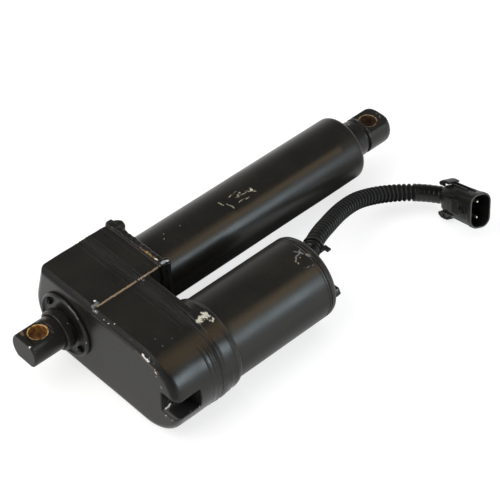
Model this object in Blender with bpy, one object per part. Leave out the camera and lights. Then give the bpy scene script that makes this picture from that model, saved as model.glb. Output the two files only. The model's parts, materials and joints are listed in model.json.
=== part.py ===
"""Electric linear actuator with a parallel motor, built from separate pieces.

Design axes: X runs along the extension screw, from the rear eye to the rod eye.
The motor lies beside the screw at -Y, and Z is up while the actuator lies on its side.
All the numbers below are millimetres in that design frame, whose zero is the centre of
the rear eye's cross hole. The empty "actuator_base" moves the design so that the world
origin is under the middle of the actuator, on the surface that it lies on.
"""
import math

import bmesh
import bpy
from mathutils import Matrix, Vector

MM = 0.001
GAP = 0.3

# Facets round a full circle: large seen pieces, other round pieces, small holes and screws.
FINE = 32
ROUND = 18
SMALL = 8

# Driving dimensions.
TUBE_R = 25.4
TUBE_WALL = 3.2
MOTOR_R = 31.75
MOTOR_WALL = 2.0
MOTOR_Y = -79.0
EYE_R = 12.7
EYE_FLAT = 9.5
PIN_HOLE_R = 6.4
ROD_R = 14.3
ROD_WALL = 3.0
EYE_BACK = -13.0
ROD_TIP = 331.5
ROD_HOLE_X = 318.0

# The gear case: its rear face, split, front faces and outline.
CASE_BACK = 24.4
CASE_SPLIT = 63.7
COVER_BACK = 65.0
COVER_FACE = 74.5
LUG_FACE = 90.0
LIP_BACK = 84.6
LIP_RISE = 1.5
# Round posts at the lug's two corners: plan centre and radius.
LUG_POSTS = {"far": (89.4, 20.4, 5.2), "near": (90.0, -29.2, 3.4)}
POST_ENDS = (-34.4, 36.3)
CASE_HALF = 35.2
CASE_MOTOR_TOP = 34.0
CASE_CORNER_Y = 26.5
CASE_STEP_Y = -30.0
CASE_WALL = 5.0
CASE_ROUND = 5.5
MOTOR_BOSS_R = 34.3
CAN_BACK = 70.3
CAN_FRONT = 168.7
BELL_FRONT = 174.6
TUBE_BACK = 78.6
TUBE_FRONT = 290.6

# The gear train: motor pinion, compound idler, screw gear.
MODULE_FAST = 1.25
MODULE_SLOW = 1.5
PINION_TEETH = 16
IDLER_BIG_TEETH = 42
IDLER_SMALL_TEETH = 19
SCREW_TEETH = 38
IDLER_Y = MOTOR_Y + MODULE_FAST * (PINION_TEETH + IDLER_BIG_TEETH) / 2
FAST_PLANE = (54.3, 62.0)
SLOW_PLANE = (44.2, 52.2)

# Fasteners.
CASE_SCREWS = [(22, 29), (22, -29), (-23, 29), (-23, -29), (-97, 19), (-97, -19)]
RING_SCREW_CIRCLE = 20.6
RING_SCREW_ANGLES = (40, 220)
BOLT_CIRCLE = 25.2

# The cord: conduit route and the connector that ends it.
CONDUIT_R = 6.7
CONDUIT_STEP = 14.0
CORD_HOLE = (-77.0, 17.0)
CONDUIT_EXIT = (181.8, -76.2, 16.4)
CONDUIT_ROUTE = [CONDUIT_EXIT, (192.6, -69.8, 15.0), (203.8, -64.5, 12.3), (215.0, -59.7, 8.6),
                 (226.0, -54.8, 4.5), (237.1, -50.4, 0.5), (248.8, -47.0, -3.2), (260.7, -44.8, -7.0),
                 (272.7, -44.4, -11.3), (284.6, -46.0, -15.2), (296.3, -50.1, -18.2), (307.1, -56.6, -20.1),
                 (316.2, -64.8, -21.2), (323.6, -73.6, -22.0)]
CONNECTOR_REAR = (323.75, -79.07, -20.43)
CONNECTOR_AXIS = (-0.133, -0.934, 0.331)
CONNECTOR_UP = (0.281, 0.285, 0.917)
CONNECTOR_SIZE = (19.0, 26.5, 38.0)

# The world's zero is under the middle of the actuator's box, its lead left out.
TUBE_SIDE_Y = 36.5
MOTOR_SIDE_Y = MOTOR_Y - (CASE_MOTOR_TOP + CASE_HALF) / 2
BASE_SHIFT = (-(EYE_BACK + ROD_TIP) / 2, -(TUBE_SIDE_Y + MOTOR_SIDE_Y) / 2, CASE_HALF)


# Scene helpers.

def clear_scene():
    for obj in list(bpy.data.objects):
        bpy.data.objects.remove(obj, do_unlink=True)


def make_material(name, colour, roughness, metallic):
    material = bpy.data.materials.new(name)
    material.use_nodes = True
    shader = material.node_tree.nodes["Principled BSDF"]
    shader.inputs["Base Color"].default_value = (*colour, 1.0)
    shader.inputs["Roughness"].default_value = roughness
    shader.inputs["Metallic"].default_value = metallic
    return material


def make_empty(name, parent, place):
    empty = bpy.data.objects.new(name, None)
    empty.location = [value * MM for value in place]
    empty.parent = parent
    bpy.context.collection.objects.link(empty)
    return empty


def finish_mesh(bm, name):
    """Scale a bmesh from millimetres, face it outward and turn it into a smooth-shaded mesh."""
    bmesh.ops.scale(bm, vec=(MM, MM, MM), verts=bm.verts)
    bmesh.ops.recalc_face_normals(bm, faces=bm.faces)
    mesh = bpy.data.meshes.new(name)
    bm.to_mesh(mesh)
    bm.free()
    mesh.shade_smooth()
    mesh.set_sharp_from_angle(angle=math.radians(32))
    return mesh


def add_piece(name, bm, material, parent, place=(0, 0, 0)):
    mesh = finish_mesh(bm, name)
    mesh.materials.append(material)
    obj = bpy.data.objects.new(name, mesh)
    obj.location = [value * MM for value in place]
    obj.parent = parent
    bpy.context.collection.objects.link(obj)
    return obj


def add_cutter(name, bm, parent, place=(0, 0, 0)):
    obj = add_piece(name, bm, bpy.data.materials["steel"], parent, place)
    obj.hide_render = True
    obj.display_type = "WIRE"
    return obj


def combine(target, tool, operation):
    modifier = target.modifiers.new(f"{operation.lower()}_{tool.name}", "BOOLEAN")
    modifier.operation = operation
    modifier.object = tool
    modifier.solver = "EXACT"


def cut(target, tool):
    combine(target, tool, "DIFFERENCE")


def join(target, tool):
    combine(target, tool, "UNION")


# Shape helpers. Outlines are lists of (y, z); profiles are lists of (x, radius).

def arc(centre, radius, start, end, steps):
    """Points on a circle in the Y-Z plane, angles in degrees from +Y towards +Z."""
    angles = [math.radians(start + (end - start) * i / steps) for i in range(steps + 1)]
    return [(centre[0] + radius * math.cos(a), centre[1] + radius * math.sin(a)) for a in angles]


def circle(centre, radius, steps):
    return arc(centre, radius, 0, 360, steps)[:-1]


def shrink(outline, distance):
    """Offset a closed counter-clockwise outline inwards, mitred at its corners."""
    result = []
    count = len(outline)
    for i, point in enumerate(outline):
        here = Vector(point)
        before = (here - Vector(outline[i - 1])).normalized()
        after = (Vector(outline[(i + 1) % count]) - here).normalized()
        normal = Vector((-before.y, before.x)) + Vector((-after.y, after.x))
        normal /= max(normal.length_squared / 2, 0.35)
        result.append(tuple(here + normal * distance))
    return result


def loft(sections):
    """Solid through sections (x, outline), every outline with the same number of points."""
    bm = bmesh.new()
    rings = [[bm.verts.new((x, y, z)) for y, z in outline] for x, outline in sections]
    skin_rings(bm, rings)
    bm.faces.new(rings[0])
    bm.faces.new(list(reversed(rings[-1])))
    return bm


def skin_rings(bm, rings):
    for lower, upper in zip(rings, rings[1:]):
        for i in range(len(lower)):
            bm.faces.new((lower[i - 1], upper[i - 1], upper[i], lower[i]))


def prism(outline, start, end):
    return loft([(start, outline), (end, outline)])


def box(low, high):
    bm = bmesh.new()
    bmesh.ops.create_cube(bm, size=1.0)
    size = [b - a for a, b in zip(low, high)]
    middle = [(a + b) / 2 for a, b in zip(low, high)]
    bmesh.ops.transform(bm, matrix=Matrix.LocRotScale(middle, None, size), verts=bm.verts)
    return bm


def turned(profile, steps=ROUND):
    """Solid of revolution about X; a profile that reaches radius 0 is closed on the axis."""
    bm = bmesh.new()
    columns = []
    for x, radius in profile:
        if radius == 0:
            columns.append([bm.verts.new((x, 0, 0))] * steps)
        else:
            columns.append([bm.verts.new((x, y, z)) for y, z in circle((0, 0), radius, steps)])
    for first, second in zip(columns, columns[1:] + columns[:1]):
        for i in range(steps):
            corners = []
            for vert in (first[i - 1], second[i - 1], second[i], first[i]):
                if vert not in corners:
                    corners.append(vert)
            if len(corners) > 2:
                bm.faces.new(corners)
    return bm


def rod(start, end, radius, steps=ROUND):
    return turned([(start, 0), (start, radius), (end, radius), (end, 0)], steps)


def tube(start, end, inner, outer, steps=ROUND):
    return turned([(start, inner), (start, outer), (end, outer), (end, inner)], steps)


def gear_outline(teeth, module, backlash=0.12, phase=0.0):
    """Straight-flanked teeth close to an involute, thinned by the backlash at the pitch circle."""
    pitch = module * teeth / 2
    outer = pitch + module * 0.92
    root = pitch - module * 1.2
    half = math.pi / (2 * teeth) - backlash / pitch
    slope = math.tan(math.radians(20)) / pitch
    root_half = half + slope * (pitch - root)
    outer_half = half - slope * (outer - pitch) * 1.25
    points = []
    for tooth in range(teeth):
        middle = 2 * math.pi * (tooth + phase) / teeth
        corners = [(root, -root_half), (outer, -outer_half), (outer, outer_half), (root, root_half)]
        points += [(r * math.cos(middle + a), r * math.sin(middle + a)) for r, a in corners]
    return points


def gear(teeth, module, start, end, phase=0.0):
    return prism(gear_outline(teeth, module, phase=phase), start, end)


def turn_to(bm, axis, place):
    """Turn a bmesh built along X so that it runs along another axis from a new place."""
    turn = Vector((1, 0, 0)).rotation_difference(Vector(axis)).to_matrix().to_4x4()
    bmesh.ops.transform(bm, matrix=Matrix.Translation(place) @ turn, verts=bm.verts)
    return bm


# Outlines of the gear case.

def case_flank():
    """The tube side of the case, from its bottom corner round the tube axis to its top corner."""
    corner = [(CASE_CORNER_Y, -CASE_HALF)]
    return corner + arc((0, 0), 35.0, -15, 15, 4) + [(CASE_CORNER_Y, CASE_HALF)]


def case_outline():
    """The whole case, counter-clockwise, raised on the tube side down to CASE_STEP_Y."""
    middle = (CASE_MOTOR_TOP - CASE_HALF) / 2
    radius = (CASE_MOTOR_TOP + CASE_HALF) / 2
    step = [(CASE_STEP_Y, CASE_HALF), (CASE_STEP_Y - 1.6, CASE_MOTOR_TOP)]
    end = arc((MOTOR_Y, middle), radius, 90, 270, 14)
    return case_flank() + step + end + [(CASE_STEP_Y, -CASE_HALF)]


def lug_outline(rise=0.0):
    """The raised tube side of the front cover; a rise widens it, but not past the flat bottom."""
    outline = case_flank() + [(CASE_STEP_Y, CASE_HALF), (CASE_STEP_Y, -CASE_HALF)]
    return [(y, max(z, -CASE_HALF)) for y, z in shrink(outline, -rise)]


def circle_chain(circles, steps):
    """Outline round a row of overlapping circles (y, radius) whose centres lie on the Y axis."""
    crossings = []
    for (y1, r1), (y2, r2) in zip(circles, circles[1:]):
        y = ((r1 ** 2 - r2 ** 2) - (y1 ** 2 - y2 ** 2)) / (2 * (y2 - y1))
        crossings.append((y, math.sqrt(r1 ** 2 - (y - y1) ** 2)))
    upper = []
    for i, (y, radius) in enumerate(circles):
        right, left = (crossings[i - 1] if i else None), (crossings[i] if i < len(crossings) else None)
        start = math.degrees(math.atan2(right[1], right[0] - y)) if right else 0
        end = math.degrees(math.atan2(left[1], left[0] - y)) if left else 180
        upper += arc((y, 0), radius, start, end, steps)[1 if i else 0:]
    lower = [(y, -z) for y, z in reversed(upper[1:-1])]
    return upper + lower


# The gear case and its cover.

def add_screw_holes(target, base, prefix, profile):
    for number, (y, z) in enumerate(CASE_SCREWS, 1):
        hole = add_cutter(f"{prefix}_{number}", turned(profile, SMALL), base, (0, y, z))
        cut(target, hole)


def make_gear_housing(base, mats):
    outline = case_outline()
    sections = []
    for degrees in (0, 45, 90):
        angle = math.radians(degrees)
        x = CASE_BACK + CASE_ROUND * (1 - math.sin(angle))
        sections.append((x, shrink(outline, CASE_ROUND * (1 - math.cos(angle)))))
    sections.reverse()
    sections.append((CASE_SPLIT, outline))
    housing = add_piece("gear_housing", loft(sections), mats["paint"], base)
    room = circle_chain([(0, 31.0), (IDLER_Y, 28.8), (MOTOR_Y, 14.0)], SMALL)
    cut(housing, add_cutter("housing_room", prism(room, CASE_BACK + CASE_WALL, 70), base))
    cut(housing, add_cutter("adapter_hole", rod(20, 35, EYE_R + 0.35, ROUND), base))
    cut(housing, add_cutter("idler_pin_hole", rod(26.4, 35, 5.3, ROUND), base, (0, IDLER_Y, 0)))
    cut(housing, add_cutter("side_pocket", box((20, -125, -7.5), (45, -100, 8)), base))
    pocket_mouth = turn_to(rod(0, 30, 9.5, ROUND), (0, -1, 0), (21.5, -97, 0))
    cut(housing, add_cutter("pocket_mouth", pocket_mouth, base))
    add_screw_holes(housing, base, "housing_hole", [(38, 0), (38, 2.8), (70, 2.8), (70, 0)])
    for number, (y, z) in enumerate(ring_screw_places(), 1):
        cut(housing, add_cutter(f"housing_ring_hole_{number}", rod(23.5, 27.9, 1.9, SMALL), base, (0, y, z)))
    return housing


def make_front_cover(base, mats):
    """A flat plate with the raised lug for the tube grown from its front, and the motor boss."""
    bm = bmesh.new()
    outline = case_outline()
    rear = [bm.verts.new((COVER_BACK, y, z)) for y, z in outline]
    face = [bm.verts.new((COVER_FACE, y, z)) for y, z in outline]
    skin_rings(bm, [rear, face])
    bm.faces.new(rear)
    flank = len(case_flank())
    bm.faces.new(face[flank:])
    lug = face[:flank + 1] + [face[-1]]
    rings = [lug]
    for x, rise in ((LIP_BACK, 0.0), (LIP_BACK + 0.5, LIP_RISE), (LUG_FACE - 1.0, LIP_RISE), (LUG_FACE, 0.6)):
        rings.append([bm.verts.new((x, y, z)) for y, z in lug_outline(rise)])
    skin_rings(bm, rings)
    bm.faces.new(rings[-1])
    cover = add_piece("front_cover", bm, mats["paint"], base)
    for name, (x, y, radius) in LUG_POSTS.items():
        post = turn_to(rod(*POST_ENDS, radius, SMALL), (0, 0, 1), (x, y, 0))
        join(cover, add_cutter(f"lug_post_{name}", post, base))
    bore = [(60, 0), (60, 10), (66.7, 10), (66.7, 17.8), (TUBE_BACK - GAP, 17.8),
            (TUBE_BACK - GAP, TUBE_R + GAP), (100, TUBE_R + GAP), (100, 0)]
    cut(cover, add_cutter("tube_bore", turned(bore, FINE), base))
    seat = [(60, 0), (60, 6), (66, 6), (66, 11.3), (70, 11.3), (70, MOTOR_R + GAP),
            (100, MOTOR_R + GAP), (100, 0)]
    cut(cover, add_cutter("motor_bore", turned(seat, FINE), base, (0, MOTOR_Y, 0)))
    inside = MOTOR_R + 2 * GAP
    boss = [(71.5, inside), (71.5, MOTOR_BOSS_R), (79.5, MOTOR_BOSS_R), (81.5, MOTOR_BOSS_R - 0.5),
            (82.8, MOTOR_BOSS_R - 1.4), (82.8, inside)]
    join(cover, add_cutter("motor_boss", turned(boss, FINE), base, (0, MOTOR_Y, 0)))
    cut(cover, add_cutter("cover_pin_hole", rod(60, 69.0, 5.3, ROUND), base, (0, IDLER_Y, 0)))
    profile = [(60, 0), (60, 2.8), (67, 2.8), (67, 4.7), (100, 4.7), (100, 0)]
    add_screw_holes(cover, base, "cover_hole", profile)
    for number, offset in enumerate((BOLT_CIRCLE, -BOLT_CIRCLE), 1):
        place = (0, MOTOR_Y + offset, 0)
        hole = add_cutter(f"cover_bolt_hole_{number}", rod(66.5, 72, 2.8, SMALL), base, place)
        cut(cover, hole)
    return cover


def make_gasket(base, mats):
    gasket = add_piece("case_gasket", prism(case_outline(), 64.0, 64.7), mats["gasket"], base)
    room = circle_chain([(0, 31.0), (IDLER_Y, 28.8), (MOTOR_Y, 14.0)], 10)
    cut(gasket, add_cutter("gasket_room", prism(room, 60, 70), base))
    add_screw_holes(gasket, base, "gasket_hole", [(60, 0), (60, 2.8), (70, 2.8), (70, 0)])


def make_case_screws(base, mats):
    profile = [(40, 0), (40, 2.5), (67.3, 2.5), (67.3, 4.3), (69.4, 4.3), (69.7, 4.0), (69.7, 1.6),
               (68.4, 1.6), (68.4, 0)]
    for number, (y, z) in enumerate(CASE_SCREWS, 1):
        add_piece(f"case_screw_{number}", turned(profile, SMALL), mats["steel"], base, (0, y, z))


# The rear eye and what holds it.

def make_flats(target, parent, start, end, name):
    """Cut the two flats of an eye, top and bottom."""
    for side, low, high in (("top", EYE_FLAT, 30), ("bottom", -30, -EYE_FLAT)):
        cut(target, add_cutter(f"{name}_flat_{side}", box((start, -30, low), (end, 30, high)), parent))


def make_cross_hole(target, parent, x, name):
    bore = turn_to(rod(-20, 20, PIN_HOLE_R, ROUND), (0, 0, 1), (x, 0, 0))
    cut(target, add_cutter(f"{name}_cross_hole", bore, parent))


def make_rear_adapter(base, mats):
    profile = [(EYE_BACK, 0), (EYE_BACK, EYE_R - 0.7), (EYE_BACK + 0.7, EYE_R), (29.6, EYE_R),
               (29.6 + GAP, 20), (34.6, 20), (34.6, 6.4), (31.2, 6.4), (31.2, 0)]
    adapter = add_piece("rear_adapter", turned(profile, FINE), mats["paint"], base)
    make_flats(adapter, base, EYE_BACK - 5, 7.4, "rear_eye")
    make_cross_hole(adapter, base, 0, "rear_eye")


def ring_screw_places():
    angles = [math.radians(degrees) for degrees in RING_SCREW_ANGLES]
    return [(RING_SCREW_CIRCLE * math.cos(a), RING_SCREW_CIRCLE * math.sin(a)) for a in angles]


def make_adapter_ring(base, mats):
    ring = [(21.3, 16.2), (20.9, 17.0), (20.9, 23.2), (22.1, 24.9), (24.1, 24.9), (24.1, EYE_R + GAP),
            (22.6, EYE_R + GAP), (22.6, 16.2)]
    piece = add_piece("adapter_ring", turned(ring, FINE), mats["paint"], base)
    for number, (y, z) in enumerate(ring_screw_places(), 1):
        cut(piece, add_cutter(f"ring_hole_{number}", rod(15, 30, 1.9, SMALL), base, (0, y, z)))
        screw = [(19.0, 0), (19.0, 2.2), (19.4, 2.7), (20.6, 2.7), (20.6, 1.5), (27.6, 1.5), (27.6, 0)]
        add_piece(f"ring_screw_{number}", turned(screw, SMALL), mats["paint"], base, (0, y, z))
    nut = [(13.6, EYE_R + GAP), (13.6, 14.6), (14.2, 15.2), (20.4, 15.2), (20.4, EYE_R + GAP)]
    add_piece("adapter_lock_nut", turned(nut, FINE), mats["paint"], base)


# The cover tube and its far end.

def make_cover_tube(base, mats):
    inner = TUBE_R - TUBE_WALL
    profile = [(TUBE_BACK, inner), (TUBE_BACK, TUBE_R), (TUBE_FRONT - 3, TUBE_R),
               (TUBE_FRONT - 1.5, TUBE_R - 0.4), (TUBE_FRONT - 0.4, TUBE_R - 1.4),
               (TUBE_FRONT, TUBE_R - 2.8), (TUBE_FRONT, 20.2), (TUBE_FRONT - 2.4, 20.2),
               (TUBE_FRONT - 2.4, inner)]
    add_piece("cover_tube", turned(profile, FINE), mats["paint"], base)
    add_piece("tube_guide", tube(262, 287.8, ROD_R + GAP, inner - GAP, ROUND), mats["nylon"], base)
    wiper = [(288.2, ROD_R + 0.35), (288.2, 19.8), (291.8, 19.8), (293.2, 17.4), (293.2, ROD_R + 0.35)]
    add_piece("rod_wiper", turned(wiper, ROUND), mats["rubber"], base)


# The screw and what turns with it.

def make_screw(screw_axis, mats):
    shaft = [(31.6, 0), (31.6, 6.0), (35, 6.0), (35, 8.0), (41.4, 8.0), (41.4, 13.0), (43.9, 13.0),
             (43.9, 9.0), (66.0, 9.0), (66.0, 8.4), (80, 8.4), (80, 7.9), (274.7, 7.9), (274.7, 5.0),
             (279.6, 5.0), (279.6, 0)]
    add_piece("lead_screw", turned(shaft, ROUND), mats["steel"], screw_axis)
    wheel = add_piece("screw_gear", gear(SCREW_TEETH, MODULE_SLOW, *SLOW_PLANE), mats["bronze"], screw_axis)
    cut(wheel, add_cutter("screw_gear_bore", rod(40, 60, 9 + GAP, ROUND), screw_axis))
    add_piece("clutch_plate", tube(52.6, 55.6, 9 + GAP, 13.6, ROUND), mats["steel"], screw_axis)
    spring = [(56.0, 9.6), (57.4, 13.4), (58.4, 13.4), (57.0, 9.6)]
    add_piece("clutch_spring", turned(spring, ROUND), mats["steel"], screw_axis)
    nut = add_piece("clutch_nut", prism(circle((0, 0), 13.6, 6), 58.8, 63.0), mats["steel"], screw_axis)
    cut(nut, add_cutter("clutch_nut_bore", rod(55, 66, 9 + GAP, ROUND), screw_axis))
    add_piece("end_stop_washer", tube(275.1, 277.6, 5.3, 10.8, ROUND), mats["steel"], screw_axis)


def make_screw_bearings(base, mats):
    add_piece("thrust_bearing", tube(35.0, 41.0, 8.4, 17.0, ROUND), mats["steel"], base)
    add_piece("front_bearing", tube(67.1, 76.4, 8.8, 17.4, ROUND), mats["steel"], base)


# The rod: what slides out.

def make_rod(screw_axis, mats):
    nut = [(84, 8.3), (84, 19.0), (108, 19.0), (108, 11.0), (122, 11.0), (122, 8.3)]
    add_piece("ball_nut", turned(nut, ROUND), mats["steel"], screw_axis)
    add_piece("nut_slide_ring", tube(90, 100, 19.3, 21.7, ROUND), mats["nylon"], screw_axis)
    inner = ROD_R - ROD_WALL
    add_piece("extension_tube", tube(108.3, 304.6, inner, ROD_R, FINE), mats["rod"], screw_axis)
    end = [(289, 0), (289, inner - GAP), (304.9, inner - GAP), (304.9, 12.4), (307.2, 12.4),
           (307.6, ROD_R), (326.8, ROD_R), (329.4, 13.3), (331.0, 11.6), (ROD_TIP, 9.4), (ROD_TIP, 0)]
    eye = add_piece("rod_end_eye", turned(end, FINE), mats["paint"], screw_axis)
    make_flats(eye, screw_axis, 309.5, 340, "rod_eye")
    make_cross_hole(eye, screw_axis, ROD_HOLE_X, "rod_eye")


# The idler between motor pinion and screw gear.

def make_idler(idler_axis, mats):
    small = gear_outline(IDLER_SMALL_TEETH, MODULE_SLOW, phase=0.5)
    idler = add_piece("idler_gear", prism(small, 43.2, 58), mats["steel"], idler_axis)
    big = gear(IDLER_BIG_TEETH, MODULE_FAST, *FAST_PLANE)
    join(idler, add_cutter("idler_big_gear", big, idler_axis))
    cut(idler, add_cutter("idler_bore", rod(40, 70, 7.3, ROUND), idler_axis))
    add_piece("idler_bush", tube(43.2, 62.0, 5.3, 7.0, ROUND), mats["bronze"], idler_axis)


# The motor.

def make_motor_case(base, mats):
    motor = (0, MOTOR_Y, 0)
    can = tube(CAN_BACK, CAN_FRONT, MOTOR_R - MOTOR_WALL, MOTOR_R, FINE)
    add_piece("motor_can", can, mats["paint"], base, motor)
    bell = [(169.0, 27.4), (163.0, 27.4), (163.0, 29.4), (169.0, 29.4), (169.0, MOTOR_R), (172.6, MOTOR_R),
            (174.0, 31.2), (BELL_FRONT, 30.0), (BELL_FRONT, 0), (171.9, 0), (171.9, 8.3), (164.5, 8.3),
            (164.5, 11), (171.0, 11), (171.0, 27.4)]
    end = add_piece("motor_end_bell", turned(bell, FINE), mats["paint"], base, motor)
    for number, offset in enumerate((BOLT_CIRCLE, -BOLT_CIRCLE), 1):
        hole = add_cutter(f"bell_hole_{number}", rod(160, 180, 2.9, SMALL), base, (0, MOTOR_Y + offset, 0))
        cut(end, hole)
        place = (0, MOTOR_Y + offset, 0)
        bolt = add_piece(f"motor_bolt_{number}", rod(67.0, 177, 2.5, SMALL), mats["paint"], base, place)
        head = prism(circle((0, 0), 4.7, 6), 174.9, 179.6)
        join(bolt, add_cutter(f"bolt_head_{number}", head, base, place))
    cut(end, add_cutter("bell_cord_hole", rod(160, 180, 4.6, ROUND), base, (0, *CORD_HOLE)))
    add_piece("motor_front_bearing", tube(66.3, 70.0, 4.35, 11.0, ROUND), mats["steel"], base, motor)
    add_piece("motor_rear_bearing", tube(164.8, 171.3, 4.35, 8.0, ROUND), mats["steel"], base, motor)


def make_magnets(base, mats):
    for name, middle in (("magnet_upper", 90), ("magnet_lower", 270)):
        outer = arc((0, 0), 29.4, middle - 64, middle + 64, SMALL)
        inner = arc((0, 0), 23.0, middle + 64, middle - 64, SMALL)
        add_piece(name, prism(outer + inner, 92, 143), mats["magnet"], base, (0, MOTOR_Y, 0))


def make_brushes(base, mats):
    motor = (0, MOTOR_Y, 0)
    add_piece("brush_plate", tube(160.8, 162.7, 9, 22.0, ROUND), mats["board"], base, motor)
    for name, sign in (("upper", 1), ("lower", -1)):
        low, high = sorted((sign * 9.6, sign * 17.0))
        brush = box((148.4, -2.6, low), (155.6, 2.6, high))
        add_piece(f"brush_{name}", brush, mats["carbon"], base, motor)
        low, high = sorted((sign * 11.5, sign * 21.0))
        holder = add_piece(f"brush_holder_{name}", box((146.8, -4.2, low), (160.5, 4.2, high)),
                           mats["brass"], base, motor)
        slot = box((148.1, -2.9, -40), (155.9, 2.9, 40))
        cut(holder, add_cutter(f"brush_slot_{name}", slot, base, motor))


def slotted_outline(radius, slots, depth):
    """A stack of armature plates seen along the shaft: a circle with narrow slots."""
    slot_half = 0.16 * math.pi / slots
    points = []
    for slot in range(slots):
        middle = 2 * math.pi * slot / slots
        land_half = math.pi / slots - slot_half
        lands = [middle - land_half, middle - land_half / 2, middle + land_half / 2, middle + land_half]
        points.append((radius - depth, lands[0]))
        points += [(radius, angle) for angle in lands]
        points.append((radius - depth, lands[-1]))
    return [(r * math.cos(a), r * math.sin(a)) for r, a in points]


def make_armature(motor_axis, mats):
    shaft = [(51.0, 0), (51.0, 4.0), (170.8, 4.0), (170.8, 0)]
    add_piece("motor_shaft", turned(shaft, ROUND), mats["steel"], motor_axis)
    pinion = add_piece("motor_pinion", gear(PINION_TEETH, MODULE_FAST, 53.5, 62.8, 0.5), mats["steel"],
                       motor_axis)
    cut(pinion, add_cutter("pinion_bore", rod(45, 70, 4 + GAP, ROUND), motor_axis))
    plates = prism(slotted_outline(22.2, 10, 4.5), 95, 140)
    core = add_piece("armature_core", plates, mats["steel"], motor_axis)
    cut(core, add_cutter("core_bore", rod(90, 150, 4 + GAP, ROUND), motor_axis))
    bore = 4 + 2 * GAP
    front = [(84, 9), (84, 15), (89.4, 20), (94.7, 20), (94.7, bore), (89.4, bore)]
    rear = [(140.3, bore), (140.3, 20), (143.2, 20), (146.2, 14), (146.2, 9.6), (143.2, bore)]
    add_piece("winding_front", turned(front, ROUND), mats["copper"], motor_axis)
    add_piece("winding_rear", turned(rear, ROUND), mats["copper"], motor_axis)
    add_piece("commutator", tube(147.6, 158.6, 4 + GAP, 9.2, ROUND), mats["copper"], motor_axis)


# The cord.

def smooth_route(points, spacing):
    """Points about a spacing apart on a Catmull-Rom curve through the route's own points."""
    route = [Vector(point) for point in points]
    ends = [2 * route[0] - route[1]] + route + [2 * route[-1] - route[-2]]
    fine = []
    for a, b, c, d in zip(ends, ends[1:], ends[2:], ends[3:]):
        for step in range(12):
            t = step / 12
            fine.append(0.5 * ((2 * b) + (c - a) * t + (2 * a - 5 * b + 4 * c - d) * t ** 2
                               + (3 * b - a - 3 * c + d) * t ** 3))
    fine.append(route[-1])
    lengths = [0.0]
    for first, second in zip(fine, fine[1:]):
        lengths.append(lengths[-1] + (second - first).length)
    count = max(2, round(lengths[-1] / spacing))
    result = []
    for i in range(count + 1):
        want = lengths[-1] * i / count
        index = min(max(1, next((n for n, l in enumerate(lengths) if l >= want - 1e-6))), len(fine) - 1)
        part = (want - lengths[index - 1]) / max(lengths[index] - lengths[index - 1], 1e-9)
        result.append(fine[index - 1].lerp(fine[index], min(part, 1.0)))
    return result


def make_conduit(base, mats):
    curve = bpy.data.curves.new("conduit", "CURVE")
    curve.dimensions = "3D"
    curve.bevel_depth = CONDUIT_R * MM
    curve.bevel_resolution = 4
    curve.use_fill_caps = True
    spline = curve.splines.new("POLY")
    points = smooth_route(CONDUIT_ROUTE, CONDUIT_STEP)
    spline.points.add(len(points) - 1)
    for slot, point in zip(spline.points, points):
        slot.co = (*(point * MM), 1.0)
    curve.materials.append(mats["plastic"])
    obj = bpy.data.objects.new("conduit", curve)
    obj.parent = base
    bpy.context.collection.objects.link(obj)


def make_cord_fittings(base, mats):
    grommet = [(169.0, 0), (169.0, 4.2), (174.9, 4.2), (174.9, 9.4), (176.4, 9.4), (177.6, 8.0), (177.6, 0)]
    add_piece("cord_grommet", turned(grommet, ROUND), mats["rubber"], base, (0, *CORD_HOLE))
    start, after = smooth_route(CONDUIT_ROUTE, CONDUIT_STEP)[:2]
    place = start.lerp(after, 0.45)
    tie = turn_to(tube(-1.9, 1.9, CONDUIT_R + 0.6, CONDUIT_R + 1.8, ROUND), after - start, place)
    band = add_piece("cable_tie", tie, mats["plastic"], base)
    tail = box((place.x + 1.8, place.y - 12.5, place.z + 0.8), (place.x + 5.4, place.y - 6.6, place.z + 2.4))
    join(band, add_cutter("tie_tail", tail, base))


def rounded_rectangle(width, height, radius, steps=5):
    half_y, half_z = width / 2 - radius, height / 2 - radius
    points = []
    for centre, start in (((half_y, half_z), 0), ((-half_y, half_z), 90),
                          ((-half_y, -half_z), 180), ((half_y, -half_z), 270)):
        points += arc(centre, radius, start, start + 90, steps)
    return points


def connector_empty(base):
    """An empty at the connector's rear face, with its own X axis along the connector."""
    empty = make_empty("connector_axis", base, CONNECTOR_REAR)
    along = Vector(CONNECTOR_AXIS).normalized()
    side = Vector(CONNECTOR_UP).cross(along).normalized()
    empty.rotation_euler = Matrix((along, side, along.cross(side))).transposed().to_euler()
    return empty


def make_connector(base, mats):
    axis = connector_empty(base)
    width, height, length = CONNECTOR_SIZE
    body = [(0.0, rounded_rectangle(width - 6, height - 7.5, 4)), (4.0, rounded_rectangle(width - 4, height - 4.5, 5)),
            (10.0, rounded_rectangle(width - 1.5, height - 1.5, 6.8)), (length, rounded_rectangle(width, height, 7.5))]
    shell = add_piece("connector_shell", loft(body), mats["plastic"], axis)
    mouth = prism(rounded_rectangle(width - 3.6, height - 3.6, 5.8), 18, length + 10)
    cut(shell, add_cutter("connector_mouth", mouth, axis))
    for number, z in enumerate((6.0, -6.0), 1):
        hole = add_cutter(f"terminal_hole_{number}", prism(rounded_rectangle(3.4, 3.4, 0.8, 2), 8, 30), axis,
                          (0, 0, z))
        cut(shell, hole)
        pin = prism(rounded_rectangle(2.4, 2.4, 0.6, 2), 9.4, 34.0)
        add_piece(f"terminal_pin_{number}", pin, mats["tin"], axis, (0, 0, z))
    lock = prism(rounded_rectangle(11, 2.2, 0.9, 2), 0.8, 8.0)
    for name, side in (("lock_wing_upper", 1), ("lock_wing_lower", -1)):
        add_piece(name, lock.copy(), mats["plastic"], axis, (0, 0, side * (height / 2 + 0.55)))
    lock.free()


# Everything.

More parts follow.
